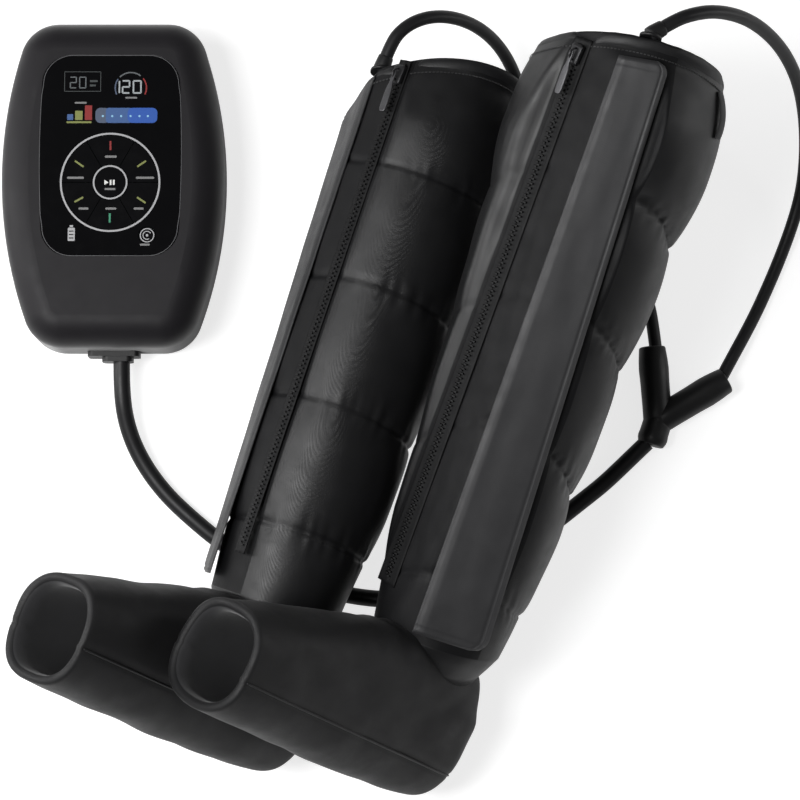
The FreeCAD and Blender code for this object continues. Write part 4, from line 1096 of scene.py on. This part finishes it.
# ====================================================================================
# hoses: the same points as the solids' routes
# ====================================================================================
main_points = [
    (6.0, -141.0, 23.0), (6.0, -166.0, 23.0),
    (10.5, -195.0, 14.5), (22.5, -222.0, 8.4), (41.0, -247.0, 7.0), (63.5, -268.0, 7.2),
    (88.0, -288.0, 7.0), (119.0, -306.0, 7.2), (153.0, -320.0, 7.0), (189.0, -330.0, 7.2),
    (226.0, -334.0, 7.0), (263.0, -328.0, 7.2), (299.0, -312.0, 7.0), (330.0, -291.5, 7.2),
    (358.0, -271.0, 7.0), (382.5, -251.7, 7.1), (398.5, -239.1, 7.4), (413.2, -225.3, 8.8),
    (424.1, -214.8, 11.0), (433.9, -205.5, 12.0),
]
branch_points = {
    "left": [
        (234.5, 113.5, 116.1), (245.1, 120.9, 113.0), (257.5, 125.9, 106.5), (271.0, 128.3, 96.5),
        (284.7, 128.0, 83.3), (297.8, 124.9, 68.1), (309.6, 118.7, 52.0), (319.4, 109.3, 36.5),
        (326.9, 97.2, 23.5), (332.6, 82.1, 14.0), (336.8, 64.0, 8.2), (341.6, 42.8, 5.4),
        (350.8, 22.8, 5.4), (368.0, -0.5, 5.4), (388.5, -21.5, 5.4), (408.0, -42.5, 5.5),
        (424.5, -62.5, 6.2), (434.5, -83.5, 8.2), (439.3, -104.0, 10.6), (441.9, -130.5, 12.0)],
    "right": [
        (451.3, 94.6, 244.8), (464.6, 98.8, 236.3), (478.8, 101.0, 223.2), (493.6, 101.3, 206.2),
        (507.8, 99.3, 186.3), (521.3, 94.7, 164.5), (533.3, 88.1, 141.5), (543.4, 79.3, 118.0),
        (551.5, 68.6, 95.0), (557.3, 55.7, 73.0), (561.1, 40.9, 53.0), (562.9, 24.4, 36.0),
        (562.5, 6.2, 22.6), (559.2, -12.1, 13.2), (552.7, -32.9, 8.0), (544.1, -55.4, 5.9),
        (534.6, -77.4, 5.5), (524.4, -99.1, 6.3), (513.6, -119.2, 8.8), (503.7, -136.8, 11.2),
        (494.4, -153.8, 12.0)],
}
splitter_centre = Vector((443.0, -187.5, 12.0))
splitter_ends = {"main": (436.7, -207.5, 12.0), "left": (438.7, -127.1, 12.0),
                 "right": (498.9, -154.2, 12.0)}


def hose_curve(name, points, radius):
    curve = bpy.data.curves.new(name, "CURVE")
    curve.dimensions = "3D"
    curve.resolution_u = 12
    curve.bevel_depth = radius * MM
    curve.bevel_resolution = 8
    curve.use_fill_caps = True
    spline = curve.splines.new("NURBS")
    spline.points.add(len(points) - 1)
    for point, place in zip(spline.points, points):
        point.co = (*place, 1.0)
    spline.order_u = 3
    spline.use_endpoint_u = True
    curve.materials.append(hose_skin)
    piece = bpy.data.objects.new(name, curve)
    scene.collection.objects.link(piece)
    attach(piece, "set")
    return piece


def make_hoses():
    straight_lead = 0.013
    exits = {label: make_port(label) for label in boots}
    routes = {"main": [Vector(p) * MM for p in main_points]}
    for label, (start, direction) in exits.items():
        routes[label] = [start, start + direction * straight_lead]
        routes[label] += [Vector(p) * MM for p in branch_points[label]]
    splitter = make_splitter()
    main = hose_curve("main_hose_line", routes["main"], 6.8)
    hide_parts("main_hose")
    for label, length in (("left", 0.436), ("right", 0.490)):
        branch = hose_curve("branch_hose_line_" + label, routes[label], 5.2)
        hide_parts("branch_hose_" + label)


def make_splitter():
    """Three slightly bellied arms, joined in one moulded body."""
    pieces = []
    place = Matrix.Scale(MM, 4)
    for name, at in splitter_ends.items():
        end = Vector(at)
        direction = splitter_centre - end
        length = direction.length
        direction.normalize()
        profile = [(0.0, 9.6), (0.4, 10.4), (1.3, 10.9), (length * 0.18, 11.9), (length * 0.3, 12.3),
                   (length * 0.5, 11.9), (length * 0.8, 11.8), (length + 1.0, 11.9),
                   (length + 6.0, 9.0)]
        arm = closed_tube("y_splitter_arm_" + name, turned_rings(end, direction, profile, 40, place),
                          black_skin, "set")
        pieces.append(arm)
    hub = bmesh.new()
    bmesh.ops.create_uvsphere(hub, u_segments=40, v_segments=24, radius=12.0 * MM)
    mesh = bpy.data.meshes.new("y_splitter_hub")
    hub.to_mesh(mesh)
    hub.free()
    for vertex in mesh.vertices:
        vertex.co = vertex.co + splitter_centre * MM
    body = link("y_splitter_hub", mesh, black_skin, "set")
    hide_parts("y_splitter")
    return pieces + [body]


make_hoses()


# ====================================================================================
# pump
# ====================================================================================
grid = 0.796                # marks are laid out on a grid of this width
pad_on_grid = (113.0, 184.7)
pad_middle = (0.0, -1.5)
face_top = 73.0
ring_level = face_top + 0.01
mark_level = face_top + 0.02


def face_place(px, py):
    return (pad_middle[0] + (px - pad_on_grid[0]) * grid, pad_middle[1] - (py - pad_on_grid[1]) * grid)


def box_marks(name, boxes, material, body, level=mark_level):
    """Rounded boxes: (x0, y0, x1, y1, corner) on the grid."""
    outlines = []
    for x0, y0, x1, y1, radius in boxes:
        ax, ay = face_place(x0, y1)
        bx, by = face_place(x1, y0)
        radius = min(radius * grid, (bx - ax) / 2.001, (by - ay) / 2.001)
        outlines.append(rounded_box(ax, ay, bx, by, radius))
    return flat_marks(name, outlines, level, material, body)


def line_marks(name, lines, width, material, body):
    """Straight strokes: (start, end) on the grid."""
    outlines = [bar(*face_place(*start), *face_place(*end), width) for start, end in lines]
    return flat_marks(name, outlines, mark_level, material, body)


def segments(x0, y0, x1, y1, digit):
    """Strokes of a seven-segment digit in a box of the grid."""
    ym = (y0 + y1) / 2
    strokes = {"a": ((x0, y0), (x1, y0)), "b": ((x1, y0), (x1, ym)), "c": ((x1, ym), (x1, y1)),
               "d": ((x0, y1), (x1, y1)), "e": ((x0, ym), (x0, y1)), "f": ((x0, y0), (x0, ym)),
               "g": ((x0, ym), (x1, ym))}
    lit = {"0": "abcdef", "1": "bc", "2": "abged"}[digit]
    return [strokes[k] for k in lit]


def carry_over():
    """Materials for the nodes whose solids are shown as they are."""
    given = {"front_case": case_skin, "rear_case": case_skin, "rubber_feet": rubber_skin,
             "case_screws": steel_skin, "display_lens": window_skin, "key_start": key_skin,
             "key_mode": key_skin, "control_board": board_skin, "dome_switches": steel_skin,
             "lcd_panel": window_skin, "air_pumps": steel_skin, "valve_manifold": white_skin,
             "solenoid_valves": steel_skin, "inner_tubes": silicone_skin, "battery_pack": wrap_skin,
             "charge_port": black_skin, "outlet_socket": black_skin, "hose_plug": black_skin}
    for place in ("top", "upper_right", "lower_right", "bottom", "lower_left", "upper_left"):
        given["key_" + place] = key_skin
    for piece in list(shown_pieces()):
        node = piece.get("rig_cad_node")
        if node in given:
            for slot in piece.material_slots:
                slot.material = given[node]
            if not piece.material_slots:
                piece.data.materials.append(given[node])


def make_pad_marks():
    """Rings, plain bars for the labels, ticks and the signs on the keys."""
    ring_mesh("pad_ring", pad_middle, 38.8, 40.3, 0.0, 360.0, 120, ring_level, ring_ink, "set")
    ring_mesh("start_ring", pad_middle, 12.6, 13.9, 0.0, 360.0, 64, ring_level, ring_ink, "key_start")
    gx, gy = face_place(109.0, 184.8)
    triangle = [(gx - 1.4, gy - 2.1), (gx + 1.9, gy), (gx - 1.4, gy + 2.1)]
    flat_marks("start_glyph_play", [triangle], mark_level, white_ink, "key_start")
    box_marks("start_glyph_pause", [(112.6, 182.2, 114.4, 187.4, 0.2), (115.8, 182.2, 117.6, 187.4, 0.2)],
              white_ink, "key_start")
    box_marks("start_label", [(107.5, 190.6, 118.5, 192.6, 0.8)], label_ink, "key_start")
    # each sector key: its tick, the tick's ink, and the label's left end, top and right end
    sector_marks = {"key_top": ((113, 142.5), (113, 151.8), red_ink, 107.5, 157.4, 119.5),
                    "key_bottom": ((113, 216.3), (113, 225.8), green_ink, 108.5, 210.4, 119.5),
                    "key_upper_left": ((77.3, 162.8), (86, 168.8), lime_ink, 69.5, 179.0, 86.5),
                    "key_upper_right": ((140.3, 168.8), (149, 162.8), lime_ink, 139.0, 179.0, 157.5),
                    "key_lower_left": ((77.3, 204.8), (86, 200), lime_ink, 81.5, 210.4, 91.5),
                    "key_lower_right": ((140.3, 200), (149, 205.8), lime_ink, 137.0, 210.4, 147.0)}
    label_height = 2.2
    for key, (start, end, ink, x0, y0, x1) in sector_marks.items():
        line_marks(key + "_tick", [(start, end)], 1.5, ink, key)
        box_marks(key + "_label", [(x0, y0, x1, y0 + label_height, 1.0)], label_ink, key)
    # battery sign and the mode key's sign
    box_marks("battery_sign", [(71.0, 231.0, 78.0, 244.5, 1.0), (72.8, 228.4, 76.2, 230.4, 0.3)],
              ring_ink, "set")
    slots = [(72.2, y, 76.8, y + 1.0, 0.2) for y in (234.0, 237.5, 241.0)]
    box_marks("battery_sign_slots", slots, window_skin, "set", level=face_top + 0.09)
    mode = (30.0, -44.5)
    ring_mesh("mode_ring", mode, 5.0, 5.8, 0.0, 360.0, 40, ring_level, ring_ink, "key_mode")
    ring_mesh("mode_arc", mode, 2.9, 3.6, 30.0, 300.0, 24, ring_level, ring_ink, "key_mode")
    dot = rounded_box(mode[0] - 1.0, mode[1] - 1.0, mode[0] + 1.0, mode[1] + 1.0, 0.9)
    flat_marks("mode_dot", [dot], ring_level, ring_ink, "key_mode")
    box_marks("mode_label", [(143.5, 247.2, 153.5, 249.2, 0.9)], label_ink, "set")


def make_display_marks():
    """Two read-outs, a small bar chart and a plain level bar with six lit dots."""
    small = segments(71.8, 77.0, 77.8, 88.0, "2") + segments(81.2, 77.0, 87.4, 88.0, "0")
    line_marks("digits_small", small, 0.9, digit_dim, "set")
    frame_lines = [((66, 71.5), (102.5, 71.5)), ((102.5, 71.5), (102.5, 91.5)),
                   ((66, 91.5), (102.5, 91.5)), ((66, 71.5), (66, 91.5))]
    line_marks("readout_frame", frame_lines, 0.5, frame_ink, "set")
    box_marks("readout_bars", [(91.5, 80.0, 99.5, 82.0, 0.6), (91.5, 84.5, 97.5, 86.5, 0.6)],
              frame_ink, "set")
    large = []
    for x0, x1, digit in ((120.2, 121.4, "1"), (124.6, 131.6, "2"), (135.6, 143.2, "0")):
        large += segments(x0, 80.8, x1, 93.2, digit)
    line_marks("digits_large", large, 1.25, digit_lit, "set")
    for side, start, end, steps, ink in (("left", 145.0, 205.0, 16, grey_ink),
                                         ("top", 52.0, 135.0, 20, digit_dim),
                                         ("right", -25.0, 38.0, 16, red_ink)):
        ring_mesh("gauge_" + side, face_place(133.0, 88.0), 12.0, 13.1, start, end, steps,
                  ring_level, ink, "set")
    for name, box, ink in (("gauge_label", (127.5, 97.2, 139.5, 99.0, 0.8), label_ink),
                           ("chart_blue", (69.0, 115.0, 75.0, 121.0, 0.5), blue_ink),
                           ("chart_lime", (77.0, 111.5, 84.5, 121.0, 0.5), lime_ink),
                           ("chart_red", (86.8, 106.0, 94.0, 121.0, 0.5), red_ink),
                           ("chart_base", (68.5, 122.3, 93.5, 124.2, 0.4), lime_ink),
                           ("chart_label", (76.5, 102.4, 88.5, 104.2, 0.8), label_ink)):
        box_marks(name, [box], ink, "set")
    for part, x0, x1, corner, ink, lift in (("a", 97.5, 112.0, 5.0, grey_ink, 0.02),
                                            ("b", 108.0, 135.0, 3.0, blue_ink, 0.04),
                                            ("c", 130.0, 160.0, 5.0, deep_ink, 0.06)):
        box_marks("level_bar_" + part, [(x0, 108.5, x1, 124.0, corner)], ink, "set", face_top + lift)
    dots = [(x - 1.1, 115.9, x + 1.1, 118.1, 1.1) for x in (105.0, 114.5, 123.5, 133.0, 142.0, 150.5)]
    box_marks("level_dots", dots, dot_ink, "set", level=face_top + 0.14)


def make_glass_edge_highlight():
    """A thin lighter band round the window glass: a painted highlight on its edge."""
    width, end_width, length, corner = 114.6, 107.6, 163.6, 23.8
    middle_y, band, height = 20.5, 0.5, 0.10
    half_w, half_e, half_l = width / 2, end_width / 2, length / 2
    sag = half_w - half_e
    radius = (half_l ** 2 + sag ** 2) / (2 * sag)
    count = 12
    outline = []
    for quarter, (sx, sy) in enumerate(((1, 1), (-1, 1), (-1, -1), (1, -1))):
        cx, cy = sx * (half_e - corner + 0.8), sy * (half_l - corner)
        for i in range(count + 1):
            a = math.radians(90.0 * quarter + 90.0 * i / count)
            outline.append((cx + corner * math.cos(a), cy + corner * math.sin(a)))
        # a bulged side follows the left upper and the right lower corner
        if sx != sy:
            for i in range(1, count):
                y = (half_l - corner) * (1 - 2 * i / count) * sy
                outline.append((sx * (half_w - radius + math.sqrt(radius ** 2 - y ** 2)), y))
    rings = []
    for i, (x, y) in enumerate(outline):
        before = Vector(outline[i - 1])
        after = Vector(outline[(i + 1) % len(outline)])
        direction = (after - before).normalized()
        normal = Vector((direction.y, -direction.x))
        ring = []
        for out, up in ((-band, 0.0), (0.0, 0.0), (0.0, height), (-band, height)):
            ring.append(Vector((x + normal.x * out, y + middle_y + normal.y * out, face_top + up)) * MM)
        rings.append(ring)
    points = [p for ring in rings for p in ring]
    # the band's lighter plastic is a painted highlight along the glass edge
    rim = from_faces("glass_edge_highlight_band", points, grid_faces(len(rings), 4, wrap_rows=True, wrap_columns=True),
                     glass_edge_highlight_skin, "set", smooth=False)


carry_over()
make_pad_marks()
make_display_marks()
make_glass_edge_highlight()

for name in boots:
    make_cover(name)
    make_lining(name)
    make_binding(name)
    make_flap(name)
    make_pull(name, *make_zip(name))
    make_foot(name)
    make_loop(name)


# ====================================================================================
# floor and light
# ====================================================================================
def make_floor():
    mesh = bpy.data.meshes.new("floor")
    size = 8.0
    mesh.from_pydata([(-size, -size, -0.0005), (size, -size, -0.0005), (size, size, -0.0005),
                      (-size, size, -0.0005)], [], [(0, 1, 2, 3)])
    floor = bpy.data.objects.new("floor", mesh)
    scene.collection.objects.link(floor)
    material = bpy.data.materials.new("floor")
    material.use_nodes = True
    tree = material.node_tree
    shader = tree.nodes["Principled BSDF"]
    shader.inputs["Base Color"].default_value = (0.55, 0.55, 0.55, 1.0)
    shader.inputs["Roughness"].default_value = 0.9
    shader.inputs["Specular IOR Level"].default_value = 0.1
    path = tree.nodes.new("ShaderNodeLightPath")
    mirrored = tree.nodes.new("ShaderNodeMath")
    mirrored.operation = "MULTIPLY"
    mirrored.inputs[1].default_value = 0.4
    tree.links.new(path.outputs["Is Glossy Ray"], mirrored.inputs[0])
    power = tree.nodes.new("ShaderNodeMath")
    power.operation = "MULTIPLY_ADD"
    power.inputs[1].default_value = 0.75
    tree.links.new(path.outputs["Is Camera Ray"], power.inputs[0])
    tree.links.new(mirrored.outputs[0], power.inputs[2])
    shader.inputs["Emission Color"].default_value = (1, 1, 1, 1)
    tree.links.new(power.outputs[0], shader.inputs["Emission Strength"])
    mesh.materials.append(material)


def make_world():
    world = bpy.data.worlds.new("world")
    scene.world = world
    world.use_nodes = True
    tree = world.node_tree
    tree.nodes.clear()
    out = tree.nodes.new("ShaderNodeOutputWorld")
    plain = tree.nodes.new("ShaderNodeBackground")
    plain.inputs["Color"].default_value = (1, 1, 1, 1)
    plain.inputs["Strength"].default_value = 0.14
    white = tree.nodes.new("ShaderNodeBackground")
    white.inputs["Color"].default_value = (1, 1, 1, 1)
    white.inputs["Strength"].default_value = 1.0
    path = tree.nodes.new("ShaderNodeLightPath")
    mix = tree.nodes.new("ShaderNodeMixShader")
    tree.links.new(path.outputs["Is Camera Ray"], mix.inputs[0])
    tree.links.new(plain.outputs[0], mix.inputs[1])
    tree.links.new(white.outputs[0], mix.inputs[2])
    tree.links.new(mix.outputs[0], out.inputs["Surface"])


def softbox(name, place, target, width, height, power):
    data = bpy.data.lights.new(name, "AREA")
    data.shape = "RECTANGLE"
    data.size = width
    data.size_y = height
    data.energy = power
    lamp = bpy.data.objects.new(name, data)
    lamp.location = place
    lamp.rotation_mode = "QUATERNION"
    lamp.rotation_quaternion = (Vector(target) - Vector(place)).to_track_quat("-Z", "Y")
    scene.collection.objects.link(lamp)


make_floor()
make_world()
softbox("light_top", (-0.75, -0.35, 1.9), (0.25, -0.1, 0.0), 0.6, 0.9, 30.0)
softbox("light_left", (-1.4, 0.1, 0.6), (0.1, 0.0, 0.05), 0.5, 1.6, 15.0)
softbox("light_right", (1.7, 0.1, 0.2), (0.2, 0.0, 0.1), 0.3, 1.6, 4.0)
